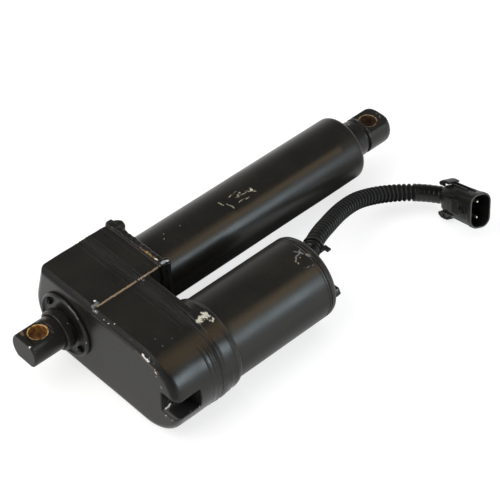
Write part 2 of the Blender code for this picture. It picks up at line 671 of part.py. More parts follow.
def make_materials():
    return {
        "steel": make_material("steel", (0.42, 0.42, 0.43), 0.35, 1.0),
        "paint": make_material("black_paint", (0.018, 0.017, 0.016), 0.38, 0.0),
        "gasket": make_material("gasket", (0.03, 0.03, 0.03), 0.8, 0.0),
        "nylon": make_material("nylon", (0.55, 0.53, 0.47), 0.5, 0.0),
        "rubber": make_material("rubber", (0.012, 0.012, 0.012), 0.7, 0.0),
        "bronze": make_material("bronze", (0.45, 0.28, 0.12), 0.4, 1.0),
        "rod": make_material("rod_steel", (0.05, 0.05, 0.05), 0.35, 0.6),
        "magnet": make_material("ferrite", (0.05, 0.05, 0.055), 0.6, 0.0),
        "board": make_material("fibre_board", (0.22, 0.12, 0.05), 0.7, 0.0),
        "carbon": make_material("carbon", (0.03, 0.03, 0.03), 0.5, 0.0),
        "brass": make_material("brass", (0.55, 0.4, 0.15), 0.35, 1.0),
        "copper": make_material("copper", (0.6, 0.25, 0.12), 0.35, 1.0),
        "tin": make_material("tinned_brass", (0.6, 0.58, 0.52), 0.3, 1.0),
        "plastic": make_material("black_plastic", (0.02, 0.02, 0.02), 0.45, 0.0),
    }


def main():
    clear_scene()
    mats = make_materials()
    base = make_empty("actuator_base", None, BASE_SHIFT)
    screw_axis = make_empty("screw_axis", base, (0, 0, 0))
    idler_axis = make_empty("idler_axis", base, (0, IDLER_Y, 0))
    motor_axis = make_empty("motor_axis", base, (0, MOTOR_Y, 0))
    make_gear_housing(base, mats)
    make_front_cover(base, mats)
    make_gasket(base, mats)
    make_case_screws(base, mats)
    make_rear_adapter(base, mats)
    make_adapter_ring(base, mats)
    make_cover_tube(base, mats)
    make_screw(screw_axis, mats)
    make_screw_bearings(base, mats)
    make_rod(screw_axis, mats)
    make_idler(idler_axis, mats)
    idler_pin = rod(26.8, 68.7, 5.0)
    add_piece("idler_pin", idler_pin, mats["steel"], base, (0, IDLER_Y, 0))
    make_motor_case(base, mats)
    make_magnets(base, mats)
    make_brushes(base, mats)
    make_armature(motor_axis, mats)
    make_conduit(base, mats)
    make_cord_fittings(base, mats)
    make_connector(base, mats)


main()
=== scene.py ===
"""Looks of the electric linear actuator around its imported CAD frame.

Shapes are built in the actuator's own design axes, in millimetres: X along the screw from
the centre of the rear eye's cross hole, the motor at -Y, Z up. The frame gives the shift
from there to the row frame.
"""
import json
import math

import bmesh
import bpy
import numpy as np
from mathutils import Matrix, Vector, noise


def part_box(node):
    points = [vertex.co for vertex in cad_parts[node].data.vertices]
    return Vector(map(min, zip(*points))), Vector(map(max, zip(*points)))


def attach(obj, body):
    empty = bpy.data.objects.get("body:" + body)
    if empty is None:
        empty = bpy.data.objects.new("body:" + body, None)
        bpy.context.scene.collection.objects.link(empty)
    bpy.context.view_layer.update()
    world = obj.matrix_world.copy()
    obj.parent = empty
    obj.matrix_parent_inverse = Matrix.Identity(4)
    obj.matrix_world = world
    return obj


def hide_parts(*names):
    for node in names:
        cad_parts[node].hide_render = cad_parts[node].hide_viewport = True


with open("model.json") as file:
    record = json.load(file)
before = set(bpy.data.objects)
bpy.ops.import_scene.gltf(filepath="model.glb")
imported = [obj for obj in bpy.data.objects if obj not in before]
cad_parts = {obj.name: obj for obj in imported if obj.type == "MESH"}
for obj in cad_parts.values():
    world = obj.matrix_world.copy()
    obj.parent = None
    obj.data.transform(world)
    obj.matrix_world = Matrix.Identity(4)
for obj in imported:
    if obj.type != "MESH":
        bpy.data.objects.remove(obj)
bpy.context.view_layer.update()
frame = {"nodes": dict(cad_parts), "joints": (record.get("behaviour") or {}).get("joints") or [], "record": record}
MM = 0.001

# Driving sizes of the design, in millimetres.
GAP = 0.3
TUBE_R, TUBE_WALL, TUBE_BACK, TUBE_FRONT = 25.4, 3.2, 78.6, 290.6
MOTOR_R, MOTOR_WALL, MOTOR_Y = 31.75, 2.0, -79.0
CAN_BACK, CAN_FRONT, BELL_FRONT = 70.3, 168.7, 174.6
BOSS_R, BOLT_CIRCLE, BOLT_R = 34.3, 25.2, 2.5
EYE_R, EYE_FLAT, PIN_HOLE_R, RING_SCREWS_R = 12.7, 9.5, 6.4, 19.4
ROD_R, ROD_WALL, EYE_BACK, ROD_TIP, ROD_HOLE_X = 14.3, 3.0, -13.0, 331.5, 318.0
CASE_BACK, CASE_SPLIT, COVER_BACK, COVER_FACE = 24.4, 64.1, 64.5, 74.5
CASE_HALF, CASE_MOTOR_TOP, CASE_CORNER_Y, CASE_STEP_Y = 35.2, 34.0, 26.5, -30.0
CASE_WALL, CASE_ROUND, FLANK_R = 5.0, 5.5, 35.0
LUG_FACE, LIP_BACK, LIP_RISE = 90.0, 84.6, 1.5
LUG_POSTS = [(89.4, 20.4, 5.2), (90.0, -29.2, 3.4)]  # (x, y, radius)
POST_ENDS = (-34.4, 36.3)
CASE_SCREWS = [(22, 29), (22, -29), (-23, 29), (-23, -29), (-97, 19), (-97, -19)]  # (y, z)
SCREW_HOLE_R = 2.8
BOLT_PLACES = [(0, MOTOR_Y + side * BOLT_CIRCLE, 0) for side in (1, -1)]
IDLER_Y, IDLER_SEAT_R = -42.75, 5.3
ROOM = [(0, 31.0), (IDLER_Y, 28.8), (MOTOR_Y, 14.0)]  # the case's inside, circles as (y, radius)
POCKET_FACE_Y, POCKET_MIDDLE, POCKET_FRONT = -100.0, 0.25, 45
# Ridges that run round the castings' outside: place along X, height and half width.
RIDGES = [(56.8, 0.40, 0.45), (60.6, 0.50, 0.45), (62.5, 0.60, 0.40), (66.5, 0.60, 0.45),
          (68.6, 0.50, 0.45), (78.6, 0.35, 0.45)]

# The lead, with its route repeated from the CAD source.
CONDUIT_R, RIB_PITCH, RIB_DEPTH, TAPE_LENGTH, SWEEP_SIDES = 6.7, 3.85, 1.5, 22.0, 40
CORD_HOLE = (-77.0, 17.0)
CONDUIT_EXIT = (181.8, -76.2, 16.4)
CONDUIT_ROUTE = [CONDUIT_EXIT, (192.6, -69.8, 15.0), (203.8, -64.5, 12.3), (215.0, -59.7, 8.6),
                 (226.0, -54.8, 4.5), (237.1, -50.4, 0.5), (248.8, -47.0, -3.2), (260.7, -44.8, -7.0),
                 (272.7, -44.4, -11.3), (284.6, -46.0, -15.2), (296.3, -50.1, -18.2),
                 (307.1, -56.6, -20.1), (316.2, -64.8, -21.2), (323.6, -73.6, -22.0)]
CONNECTOR_REAR = (323.75, -79.07, -20.43)
CONNECTOR_AXIS = (-0.133, -0.934, 0.331)
CONNECTOR_UP = (0.281, 0.285, 0.917)
CONNECTOR_SIZE = (19.0, 26.5, 38.0)
TERMINAL_Z = (6.0, -6.0)

# Studio: design millimetres and degrees.
CAMERA_PLACE, CAMERA_LENS = (-458.1, -703.7, 878.6), 128.9
AZIMUTH, ELEVATION, ROLL = -42.86, 43.87, -0.72
CARD_Z = -35.0
PAINT_GLOSS, PLASTIC_GLOSS = 0.28, 0.3
WANDER = 4.5  # how far noise bends the most ragged wear marks

joints = {joint["name"]: joint for joint in frame["joints"]}
_, AXIS_Y, AXIS_Z = joints["screw_spin"]["pos_m"]
SHIFT = Vector((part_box("rear_adapter")[0].x - EYE_BACK * MM, AXIS_Y, AXIS_Z))
TO_ROW = Matrix.Translation(SHIFT) @ Matrix.Scale(MM, 4)


def row(point):
    """A design point in the row frame, in metres."""
    return TO_ROW @ Vector(point)


def add_object(name, data):
    obj = bpy.data.objects.new(name, data)
    bpy.context.scene.collection.objects.link(obj)
    return obj


# Camera and lights.

def add_camera():
    data = bpy.data.cameras.new("camera")
    data.lens, data.sensor_width, data.clip_end = CAMERA_LENS, 36.0, 20
    camera = add_object("camera", data)
    azimuth, elevation, roll = (math.radians(angle) for angle in (AZIMUTH, ELEVATION, ROLL))
    turn = Matrix.Rotation(azimuth, 4, "Z") @ Matrix.Rotation(math.pi / 2 - elevation, 4, "X")
    turn = Matrix.Translation(row(CAMERA_PLACE)) @ turn
    camera.matrix_world = turn @ Matrix.Rotation(roll, 4, "Z")
    bpy.context.scene.camera = camera


def add_light(name, direction, distance, size, power, colour):
    """A rectangular soft light that looks at the actuator from a direction."""
    data = bpy.data.lights.new(name, "AREA")
    data.shape = "RECTANGLE"
    data.size, data.size_y = size
    data.energy = power
    data.color = colour
    lamp = add_object(name, data)
    towards = Vector(direction).normalized()
    target = row((140, -35, 0))
    facing = towards.to_track_quat("Z", "Y").to_matrix().to_4x4()
    lamp.matrix_world = Matrix.Translation(target + towards * distance) @ facing
    return lamp


def add_studio():
    scene = bpy.context.scene
    scene.view_settings.view_transform = "Standard"
    world = bpy.data.worlds.new("studio")
    world.use_nodes = True
    scene.world = world
    nodes, links = world.node_tree.nodes, world.node_tree.links
    coords = nodes.new("ShaderNodeTexCoord")
    split = nodes.new("ShaderNodeSeparateXYZ")
    ramp = nodes.new("ShaderNodeValToRGB")
    links.new(coords.outputs["Generated"], split.inputs[0])
    links.new(split.outputs["Z"], ramp.inputs[0])
    links.new(ramp.outputs[0], nodes["Background"].inputs["Color"])
    stops = ramp.color_ramp.elements
    stops[0].position, stops[0].color = 0.0, (1.0, 1.0, 1.0, 1)
    stops[1].position, stops[1].color = 0.92, (0.03, 0.03, 0.03, 1)
    for place, level in ((0.30, 0.60), (0.50, 0.24), (0.68, 0.06)):
        stop = stops.new(place)
        stop.color = (level, level * 0.99, level * 0.97, 1)
    nodes["Background"].inputs["Strength"].default_value = 0.9
    add_light("key", (-0.62, 0.22, 0.76), 1.6, (1.5, 1.2), 17.5, (1.0, 0.98, 0.95))
    overhead = add_light("overhead", (0.1, 0.1, 1.0), 1.6, (2.2, 2.2), 20.5, (1.0, 1.0, 1.0))
    overhead.visible_glossy = False
    add_light("front", (0.415, -0.845, 0.311), 1.35, (0.40, 0.42), 6.9, (0.78, 0.92, 1.0))
    add_light("front_warm", (0.48, -0.52, 0.62), 1.5, (0.5, 0.16), 0.8, (1.0, 0.72, 0.45))
    white = studio_paint("floor", 0.35, 0.72)
    add_sheet("floor", [(-6, -6, 0), (6, -6, 0), (6, 6, 0), (-6, 6, 0)], white)
    # Cards seen only in reflections paint the floor's shade into what the paint mirrors: black under
    # the gap between tube and motor, grey behind the case and under the motor's near side.
    add_card("gap_shade_card", (80, -70), (300, -6), studio_paint("gap_shade_card", 0.03, 0.0))
    add_card("rear_shade_card", (-110, -130), (22, 60), studio_paint("rear_shade_card", 0.08, 0.62))
    add_card("near_shade_card", (88, -170), (230, -72), studio_paint("near_shade_card", 0.08, 0.52))


def studio_paint(name, shade, glow):
    """Matt paint of a grey shade; a light table's glow keeps shadows on it faint."""
    material = bpy.data.materials.new(name)
    material.use_nodes = True
    shader = material.node_tree.nodes["Principled BSDF"]
    shader.inputs["Base Color"].default_value = (shade, shade, shade, 1)
    shader.inputs["Roughness"].default_value = 0.9
    shader.inputs["Emission Color"].default_value = (1, 1, 1, 1)
    shader.inputs["Emission Strength"].default_value = glow
    return material


def add_sheet(name, corners, material):
    mesh = bpy.data.meshes.new(name)
    mesh.from_pydata(corners, [], [(0, 1, 2, 3)])
    mesh.materials.append(material)
    sheet = add_object(name, mesh)
    return sheet


# A sheet seen only in reflections, which paints shade into what the paint mirrors.
def add_card(name, low, high, material):
    (x0, y0), (x1, y1) = low, high
    corners = [row((x, y, CARD_Z)) for x, y in ((x0, y0), (x1, y0), (x1, y1), (x0, y1))]
    card = add_sheet(name, corners, material)
    card.visible_camera = card.visible_diffuse = card.visible_shadow = False


# Outlines are lists of (y, z); profiles are lists of (x, radius).

def arc(centre, radius, start, end, steps):
    angles = [math.radians(start + (end - start) * i / steps) for i in range(steps + 1)]
    return [(centre[0] + radius * math.cos(a), centre[1] + radius * math.sin(a)) for a in angles]


def circle(centre, radius, steps):
    return arc(centre, radius, 0, 360, steps)[:-1]


def shrink(outline, distance):
    """Offset a closed counter-clockwise outline inwards, mitred at its corners."""
    result = []
    for i, point in enumerate(outline):
        here = Vector(point)
        before = (here - Vector(outline[i - 1])).normalized()
        after = (Vector(outline[(i + 1) % len(outline)]) - here).normalized()
        normal = Vector((-before.y, before.x)) + Vector((-after.y, after.x))
        normal /= max(normal.length_squared / 2, 0.35)
        result.append(tuple(here + normal * distance))
    return result


def rounded_rectangle(width, height, radius, steps=8):
    half_y, half_z = width / 2 - radius, height / 2 - radius
    points = []
    for centre, start in (((half_y, half_z), 0), ((-half_y, half_z), 90),
                          ((-half_y, -half_z), 180), ((half_y, -half_z), 270)):
        points += arc(centre, radius, start, start + 90, steps)
    return points


def loft(sections):
    """Solid through sections (x, outline), every outline with the same number of points."""
    bm = bmesh.new()
    rings = [[bm.verts.new((x, y, z)) for y, z in outline] for x, outline in sections]
    skin_rings(bm, rings)
    return bm


def skin_rings(bm, rings):
    """Faces between one ring of points and the next, and over both ends."""
    for lower, upper in zip(rings, rings[1:]):
        for i in range(len(lower)):
            bm.faces.new((lower[i - 1], upper[i - 1], upper[i], lower[i]))
    bm.faces.new(rings[0])
    bm.faces.new(list(reversed(rings[-1])))


def prism(outline, start, end):
    return loft([(start, outline), (end, outline)])


def box(low, high):
    bm = bmesh.new()
    bmesh.ops.create_cube(bm, size=1.0)
    size = [b - a for a, b in zip(low, high)]
    middle = [(a + b) / 2 for a, b in zip(low, high)]
    bmesh.ops.transform(bm, matrix=Matrix.LocRotScale(middle, None, size), verts=bm.verts)
    return bm


def turned(profile, steps=128):
    """Solid of revolution about X; a profile that reaches radius 0 is closed on the axis."""
    bm = bmesh.new()
    columns = []
    for x, radius in profile:
        if radius == 0:
            columns.append([bm.verts.new((x, 0, 0))] * steps)
        else:
            columns.append([bm.verts.new((x, y, z)) for y, z in circle((0, 0), radius, steps)])
    for first, second in zip(columns, columns[1:] + columns[:1]):
        for i in range(steps):
            corners = []
            for vert in (first[i - 1], second[i - 1], second[i], first[i]):
                if vert not in corners:
                    corners.append(vert)
            if len(corners) > 2:
                bm.faces.new(corners)
    return bm


def rod(start, end, radius, steps=96):
    return turned([(start, 0), (start, radius), (end, radius), (end, 0)], steps)


def rounded_profile(points, radius):
    """A turned profile with each of its corners rounded, points on the axis left sharp."""
    steps = 4
    result = []
    for i, point in enumerate(points):
        here = Vector(point)
        before, after = Vector(points[i - 1]), Vector(points[(i + 1) % len(points)])
        reach = min(radius, (before - here).length * 0.45, (after - here).length * 0.45)
        if point[1] == 0 or reach < 0.02:
            result.append(point)
            continue
        start = here + (before - here).normalized() * reach
        end = here + (after - here).normalized() * reach
        for step in range(steps + 1):
            t = step / steps
            result.append(tuple((1 - t) ** 2 * start + 2 * t * (1 - t) * here + t * t * end))
    return result


def moved(bm, place, axis=(1, 0, 0)):
    """Turn a bmesh built along X to another axis and put it in a place."""
    turn = Vector((1, 0, 0)).rotation_difference(Vector(axis)).to_matrix().to_4x4()
    bmesh.ops.transform(bm, matrix=Matrix.Translation(place) @ turn, verts=bm.verts)
    return bm


# From bmesh to piece.

def make_object(name, bm, matrix=Matrix.Identity(4)):
    bmesh.ops.transform(bm, matrix=TO_ROW @ matrix, verts=bm.verts)
    bmesh.ops.recalc_face_normals(bm, faces=bm.faces)
    mesh = bpy.data.meshes.new(name)
    bm.to_mesh(mesh)
    bm.free()
    return add_object(name, mesh)


def apply_modifiers(obj):
    depsgraph = bpy.context.evaluated_depsgraph_get()
    mesh = bpy.data.meshes.new_from_object(obj.evaluated_get(depsgraph))
    obj.modifiers.clear()
    obj.data = mesh


def cut(obj, cutters, matrix=Matrix.Identity(4), operation="DIFFERENCE"):
    for bm in cutters:
        tool = make_object("tool", bm, matrix)
        modifier = obj.modifiers.new("cut", "BOOLEAN")
        modifier.operation = operation
        modifier.object = tool
        modifier.solver = "EXACT"
        apply_modifiers(obj)
        bpy.data.objects.remove(tool)


def add_bodies(obj, bodies, matrix=Matrix.Identity(4)):
    """Lay further closed bodies into the object's mesh; a remesh then makes one skin of them all."""
    whole = bmesh.new()
    whole.from_mesh(obj.data)
    for bm in bodies:
        part = make_object("part", bm, matrix)
        whole.from_mesh(part.data)
        bpy.data.objects.remove(part)
    whole.to_mesh(obj.data)
    whole.free()


def cast(obj, voxel, smoothing, keep=0.5, shape=None):
    """Remesh into one skin with soft cast edges, shape it, then thin out the points."""
    remesh = obj.modifiers.new("skin", "REMESH")
    remesh.mode = "VOXEL"
    remesh.voxel_size = voxel * MM
    smooth = obj.modifiers.new("soften", "SMOOTH")
    smooth.factor = 0.5
    smooth.iterations = smoothing
    apply_modifiers(obj)
    if shape:
        shape_skin(obj, shape)
    obj.modifiers.new("thin", "DECIMATE").ratio = keep
    apply_modifiers(obj)


def shape_skin(obj, shape):
    """Move every point along its normal by shape(points, normals), all in design millimetres."""
    count = len(obj.data.vertices)
    points, normals = np.empty(count * 3), np.empty(count * 3)
    obj.data.vertices.foreach_get("co", points)
    obj.data.vertices.foreach_get("normal", normals)
    points, normals = points.reshape(-1, 3), normals.reshape(-1, 3)
    design = (points - np.array(SHIFT)) / MM
    points += normals * shape(design, normals)[:, None] * MM
    obj.data.vertices.foreach_set("co", points.ravel())
    obj.data.update()


def finish_piece(obj, material, replaced, sharp=None, body="housing"):
    """Give a piece its material and body, and hide the CAD node that it stands for."""
    obj.data.materials.clear()
    obj.data.materials.append(material)
    obj.data.shade_smooth()
    if sharp:
        obj.data.set_sharp_from_angle(angle=math.radians(sharp))
    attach(obj, body)
    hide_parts(replaced)
    return obj


# Materials.

class Nodes:
    """Short hand for building a material's node tree."""

    def __init__(self, name):
        self.material = bpy.data.materials.new(name)
        self.material.use_nodes = True
        self.tree = self.material.node_tree
        self.shader = self.tree.nodes["Principled BSDF"]
        self.coords = self.tree.nodes.new("ShaderNodeTexCoord").outputs["Object"]

    def new(self, kind, **settings):
        node = self.tree.nodes.new(kind)
        for key, value in settings.items():
            setattr(node, key, value)
        return node

    def link(self, output, socket):
        self.tree.links.new(output, socket)

    def put(self, socket, value):
        if isinstance(value, bpy.types.NodeSocket):
            self.link(value, socket)
        elif isinstance(value, (int, float)) or len(value) == len(socket.default_value):
            socket.default_value = value
        else:
            socket.default_value = (*value, 1.0)

    def fill(self, sockets, *values):
        for socket, value in zip(sockets, values):
            self.put(socket, value)

    def math(self, operation, first, second, third=0.0, clamp=False):
        node = self.new("ShaderNodeMath", operation=operation, use_clamp=clamp)
        self.fill(node.inputs, first, second, third)
        return node.outputs[0]

    def vector(self, operation, *values):
        node = self.new("ShaderNodeVectorMath", operation=operation)
        self.fill(node.inputs, *values)
        return node

    def noise(self, scale, detail, rough, output="Fac"):
        node = self.new("ShaderNodeTexNoise")
        sockets = [node.inputs[name] for name in ("Vector", "Scale", "Detail", "Roughness")]
        self.fill(sockets, self.coords, scale, detail, rough)
        return node.outputs[output]

    def span(self, value, low, high, out_low=0.0, out_high=1.0):
        node = self.new("ShaderNodeMapRange", clamp=True)
        self.fill(node.inputs, value, low, high, out_low, out_high)
        return node.outputs[0]

    def mix(self, factor, first, second):
        node = self.new("ShaderNodeMix", data_type="RGBA")
        self.fill((node.inputs["Factor"], *node.inputs[6:8]), factor, first, second)
        return node.outputs[2]

    def bump(self, height, strength, distance):
        node = self.new("ShaderNodeBump")
        sockets = [node.inputs[name] for name in ("Strength", "Distance", "Height")]
        self.fill(sockets, strength, distance * MM, height)
        return node.outputs[0]

    def set(self, **values):
        for key, value in values.items():
            self.put(self.shader.inputs[key.replace("_", " ")], value)

    def marks(self, strokes, ragged):
        """Mask of strokes (start, end, radius) in design millimetres, with ragged edges."""
        edge = self.noise(900, 3, 0.65)
        wander = self.noise(260, 2, 0.5, "Color")
        shift = self.vector("SUBTRACT", wander, (0.5, 0.5, 0.5)).outputs[0]
        reach = (WANDER * ragged ** 2 * MM,) * 3
        coords = self.vector("MULTIPLY_ADD", shift, reach, self.coords).outputs[0]
        total = 0.0
        for start, end, radius in strokes:
            distance = self.distance_from(row(start), row(end), coords)
            radius *= MM
            distance = self.math("MULTIPLY_ADD", edge, 2.2 * radius * ragged, distance)
            limit = radius * (1 + 1.1 * ragged)
            total = self.math("MAXIMUM", self.span(distance, limit, limit * 0.82), total)
        return total

    def distance_from(self, start, end, coords=None):
        """Distance of the shaded point from a straight run, or from a point if the ends agree."""
        away = self.vector("SUBTRACT", coords or self.coords, start).outputs[0]
        run = end - start
        if run.length > 1e-6:
            along = self.vector("DOT_PRODUCT", away, run / run.length_squared).outputs["Value"]
            share = self.math("ADD", along, 0.0, clamp=True)
            reach = self.new("ShaderNodeVectorMath", operation="SCALE")
            reach.inputs[0].default_value = run
            self.link(share, reach.inputs["Scale"])
            away = self.vector("SUBTRACT", away, reach.outputs[0]).outputs[0]
        return self.vector("LENGTH", away, (0, 0, 0)).outputs["Value"]

    def round_hole(self, x, radius):
        """Masks of a vertical hole's wall and of the worn rim round its mouth."""
        away = self.vector("SUBTRACT", self.coords, row((x, 0, 0))).outputs[0]
        flat = self.vector("MULTIPLY", away, (1, 1, 0)).outputs[0]
        distance = self.vector("LENGTH", flat, (0, 0, 0)).outputs["Value"]
        ragged = self.math("MULTIPLY_ADD", self.noise(700, 3, 0.6), 0.9 * MM, distance)
        wall = self.span(distance, (radius + 0.30) * MM, (radius + 0.10) * MM)
        rim = self.span(ragged, (radius + 1.45) * MM, (radius + 1.20) * MM)
        return wall, rim


def spots(points, radius):
    return [(point, point, radius) for point in points]


CREAM, BARE, STEEL = (0.50, 0.47, 0.38), (0.62, 0.62, 0.60), (0.24, 0.255, 0.28)
RUST, BROWN, TAN = (0.30, 0.17, 0.04), (0.105, 0.062, 0.038), (0.21, 0.145, 0.09)
GREY, DULL, DARK = (0.115, 0.115, 0.125), (0.20, 0.185, 0.13), (0.002, 0.002, 0.002)
BRASS, SHEEN_FILM_BROWN = (0.50, 0.30, 0.10), (0.042, 0.031, 0.019)
PAINT_BLACK, PAINT_FADED = (0.0108, 0.0104, 0.0092), (0.0155, 0.0140, 0.0112)


def painted(name, rough, grain, edge=0.5, layers=(), film=(), hole=None):
    """Old semi-gloss black paint: dusty, rubbed brown along its edges, with wear, painted shade and
    painted highlights placed in layers of (tint, raggedness, strokes), a soft brown dust film that
    also paints the warm sheen of the light, and a rusty cross hole given as (x, rim tint, rust tint)."""
    m = Nodes(name)
    cloud = m.noise(28, 4, 0.6)
    colour = m.mix(m.span(cloud, 0.35, 0.7), PAINT_BLACK, PAINT_FADED)
    dust = m.span(m.noise(420, 4, 0.7), 0.60, 0.74)
    colour = m.mix(m.math("MULTIPLY", dust, 0.12), colour, (0.12, 0.11, 0.09))
    specks = m.span(m.noise(1500, 2, 0.6), 0.73, 0.76)
    colour = m.mix(m.math("MULTIPLY", specks, 0.35), colour, (0.3, 0.27, 0.2))
    # Painted sheen: soft warm brown bands, partly a dust film.
    for start, end, radius in film:
        dust_and_sheen = m.span(m.distance_from(row(start), row(end)), radius * MM, 0.2 * radius * MM)
        colour = m.mix(m.math("MULTIPLY", dust_and_sheen, 0.85), colour, SHEEN_FILM_BROWN)
    point = m.new("ShaderNodeNewGeometry").outputs["Pointiness"]
    worn = m.math("MULTIPLY", m.span(point, 0.53, 0.60), m.span(m.noise(160, 4, 0.7), 0.50, 0.64))
    colour = m.mix(m.math("MULTIPLY", worn, edge), colour, BROWN)
    roughness = m.span(cloud, 0.3, 0.7, rough - 0.03, rough + 0.07)
    if hole:
        wall, rim = m.round_hole(hole[0], PIN_HOLE_R)
        broken = m.math("MULTIPLY", rim, m.span(m.noise(330, 3, 0.6), 0.38, 0.5))
        colour = m.mix(broken, colour, hole[1])
        deep = tuple(c * 0.3 for c in hole[2])
        rusty = m.mix(m.span(m.noise(300, 4, 0.6), 0.4, 0.65), deep, hole[2])
        colour = m.mix(wall, colour, rusty)
        roughness = m.math("MAXIMUM", roughness, m.math("MULTIPLY", wall, 0.7))
    for tint, ragged, strokes in layers:
        mask = m.marks(strokes, ragged)
        colour = m.mix(mask, colour, tint)
        roughness = m.math("MAXIMUM", roughness, m.math("MULTIPLY", mask, 0.5))
    peel = m.math("MULTIPLY", m.noise(350, 3, 0.6), 0.7)
    height = m.math("ADD", peel, m.math("MULTIPLY", m.noise(1600, 2, 0.5), 0.3))
    m.set(Base_Color=colour, Roughness=roughness, Normal=m.bump(height, grain, 0.12),
          Specular_IOR_Level=PAINT_GLOSS)
    return m.material


# Wear, painted shade and painted highlights, placed in design millimetres by (start, end, radius) strokes.

HOUSING_WEAR_AND_SHADING = (
    # Painted reflection: a near-black band along the rounded rear top edge, as though it mirrored the dark above.
    (DARK, 0.35, [((25.6, 27, 33.5), (25.6, -66, 33.3), 2.7),
        ((25.6, -66, 33.3), (25.6, -80, 32.7), 2.7), ((25.6, -80, 32.7), (25.6, -93, 29.9), 2.8),
        ((25.6, -93, 29.9), (25.6, -103, 23.3), 2.8),
        ((25.6, -103, 23.3), (25.6, -109.5, 12.6), 2.7)]),
    # Along the step's edge: brown wear together with a painted highlight.
    (TAN, 0.4, [((29.8, -29.7, 35.1), (66, -29.7, 35.1), 0.8)]),
    (BROWN, 0.6, [((24.2, -70, 30.2), (24.6, -99, 25), 0.5)]),
    (GREY, 0.8, [((31, -27.5, 35), (27.5, -27.3, 34.2), 1.7),
        ((26.6, -29.5, 33.4), (26.6, -31.6, 32.9), 1.4),
        ((25.6, -85.5, 31.6), (25.6, -91, 30.2), 0.55), ((26.2, -60, 33.8), (26.6, -68, 33.6), 0.3)]
     + spots([(38.2, -77.3, 34), (38.3, -84.5, 33.5), (46.7, -84.8, 33.5)], 0.5)),
    (RUST, 1, spots([(30.1, -30, 35.1), (44, -29.8, 35.1), (52, -29.9, 35.1)], 0.7)),
    (CREAM, 1, spots([(26.3, -39.9, 32.6), (28.5, -40.8, 33.8), (26, -44.8, 32.3),
        (28.5, -47.5, 33.8)], 0.55)
     + spots([(61.4, -30.5, 35.2), (64, -33.8, 34.1)], 0.5)
     + [((24.5, -90, 27.4), (25, -94.4, 26.9), 0.35),
        ((24.4, -92.8, 20.8), (24.4, -95.3, 21.6), 0.3)]),
    (BARE, 0.8, [((31.1, -24.7, 35.2), (31.4, -24.9, 35.2), 0.8),
        ((26.8, -30.6, 33.2), (27.4, -28.4, 34), 0.5),
        ((24.9, -79.9, 30.6), (24.9, -80.8, 30.6), 1.15),
        ((24.8, -82.6, 30.2), (24.8, -86.2, 29.7), 1),
        ((24.7, -92.5, 24.6), (24.7, -94, 23.4), 0.9),
        ((26.8, -98.2, -7.6), (29.8, -99.4, -5.2), 0.7),
        ((24.4, -100.5, -10.8), (25.5, -102, -10.4), 0.7),
        ((33, -110.9, -7.8), (44, -112.3, -7.8), 0.32),
        ((24.6, -107.3, -10.6), (25.6, -107.9, -10.4), 0.5),
        ((24.4, -97.4, 14), (24.5, -98, 13.4), 0.4)]),
)
COVER_WEAR_AND_SHADING = (
    # Along the step's edge: brown wear together with a painted highlight.
    (TAN, 0.5, [((64, -29.7, 35.1), (84.2, -29.7, 35.1), 0.8)]),
    (BROWN, 0.6, [((85.5, -8, 36.6), (85.5, -25, 36.6), 0.8),
        ((79.4, -99.4, 26.6), (80.1, -105.7, 20.1), 0.35)]),
    # Painted shade: near-black in the creases along the lip's back edge and by the near post, and a spot on the
    # boss.
    (DARK, 0.3, [((84, -30.1, 34), (85.5, -31.4, 22), 0.8),
        ((88.1, -31.5, 30), (89.9, -31.4, 19), 0.9),
        ((80.1, -110.3, 11.7), (80.1, -110.3, 11.7), 1.2)]),
    (RUST, 0.9, [((85.5, -13, 36.6), (85.4, -24.7, 36.6), 0.7)]),
    (GREY, 0.9, spots([(65.1, -29.5, 34.9), (67.9, -31.3, 34.3), (73.5, -30, 34.8)], 0.8)),
    (CREAM, 1, spots([(67, -30, 35.2), (71.3, -29.3, 35.2), (85.4, -20, 36.7)], 0.5)
     + spots([(72, -83.5, 33.6), (75.8, -81.7, 33.6), (76.6, -86.3, 32.9),
        (77.3, -89.1, 32.1)], 1.8)
     + spots([(69.5, -84.9, 33.5), (74.3, -84.5, 33.2), (76.6, -83.4, 33.4)], 2.5)),
    (STEEL, 0.6, [((86.6, -29.6, 36.6), (90.6, -30.2, 36.4), 1.3)]),
    (BARE, 0.8, [((90.4, -30.4, 36.3), (90.8, -31, 36), 0.5),
        ((85.4, -23.6, 36.7), (85.4, -25, 36.7), 0.6)]),
)
EYE_WEAR = (
    (BROWN, 0.9, [((8.6, -4.5, 10.5), (9.4, 5, 10.8), 1.3), ((-9, 5, 9.5), (-8, 8.5, 9), 1.2)]),
    (GREY, 0.9, [((-12.6, -6.5, 8.9), (-11, -11.6, 6), 0.35), ((5, 8, 9.4), (8, 8.2, 9.2), 0.8)]),
    (DARK, 0.8, [((-9.4, -6.6, 9.5), (-8.6, 0.5, 9.5), 1), ((3.8, 8.3, 9.5), (-3, 8.6, 9), 0.9)]),
    (BARE, 0.7, [((-12.7, -7.1, 9), (-12.4, -7.6, 9), 0.75)]),
)
ROD_EYE_WEAR = (
    (BROWN, 0.9, [((309.6, -8, 11), (309.8, 6, 11.5), 0.9)]),
    (GREY, 0.8, [((308.6, -6, 12.8), (308.6, 4, 13.6), 0.45), ((309.6, 9, 10), (311, 6, 10), 0.6)]),
    (CREAM, 0.9, [((328.6, 1.1, 9.5), (327.6, -4.6, 9.5), 0.25),
        ((309.4, 4, 11.6), (310.4, 2, 10.6), 0.5)]),
)
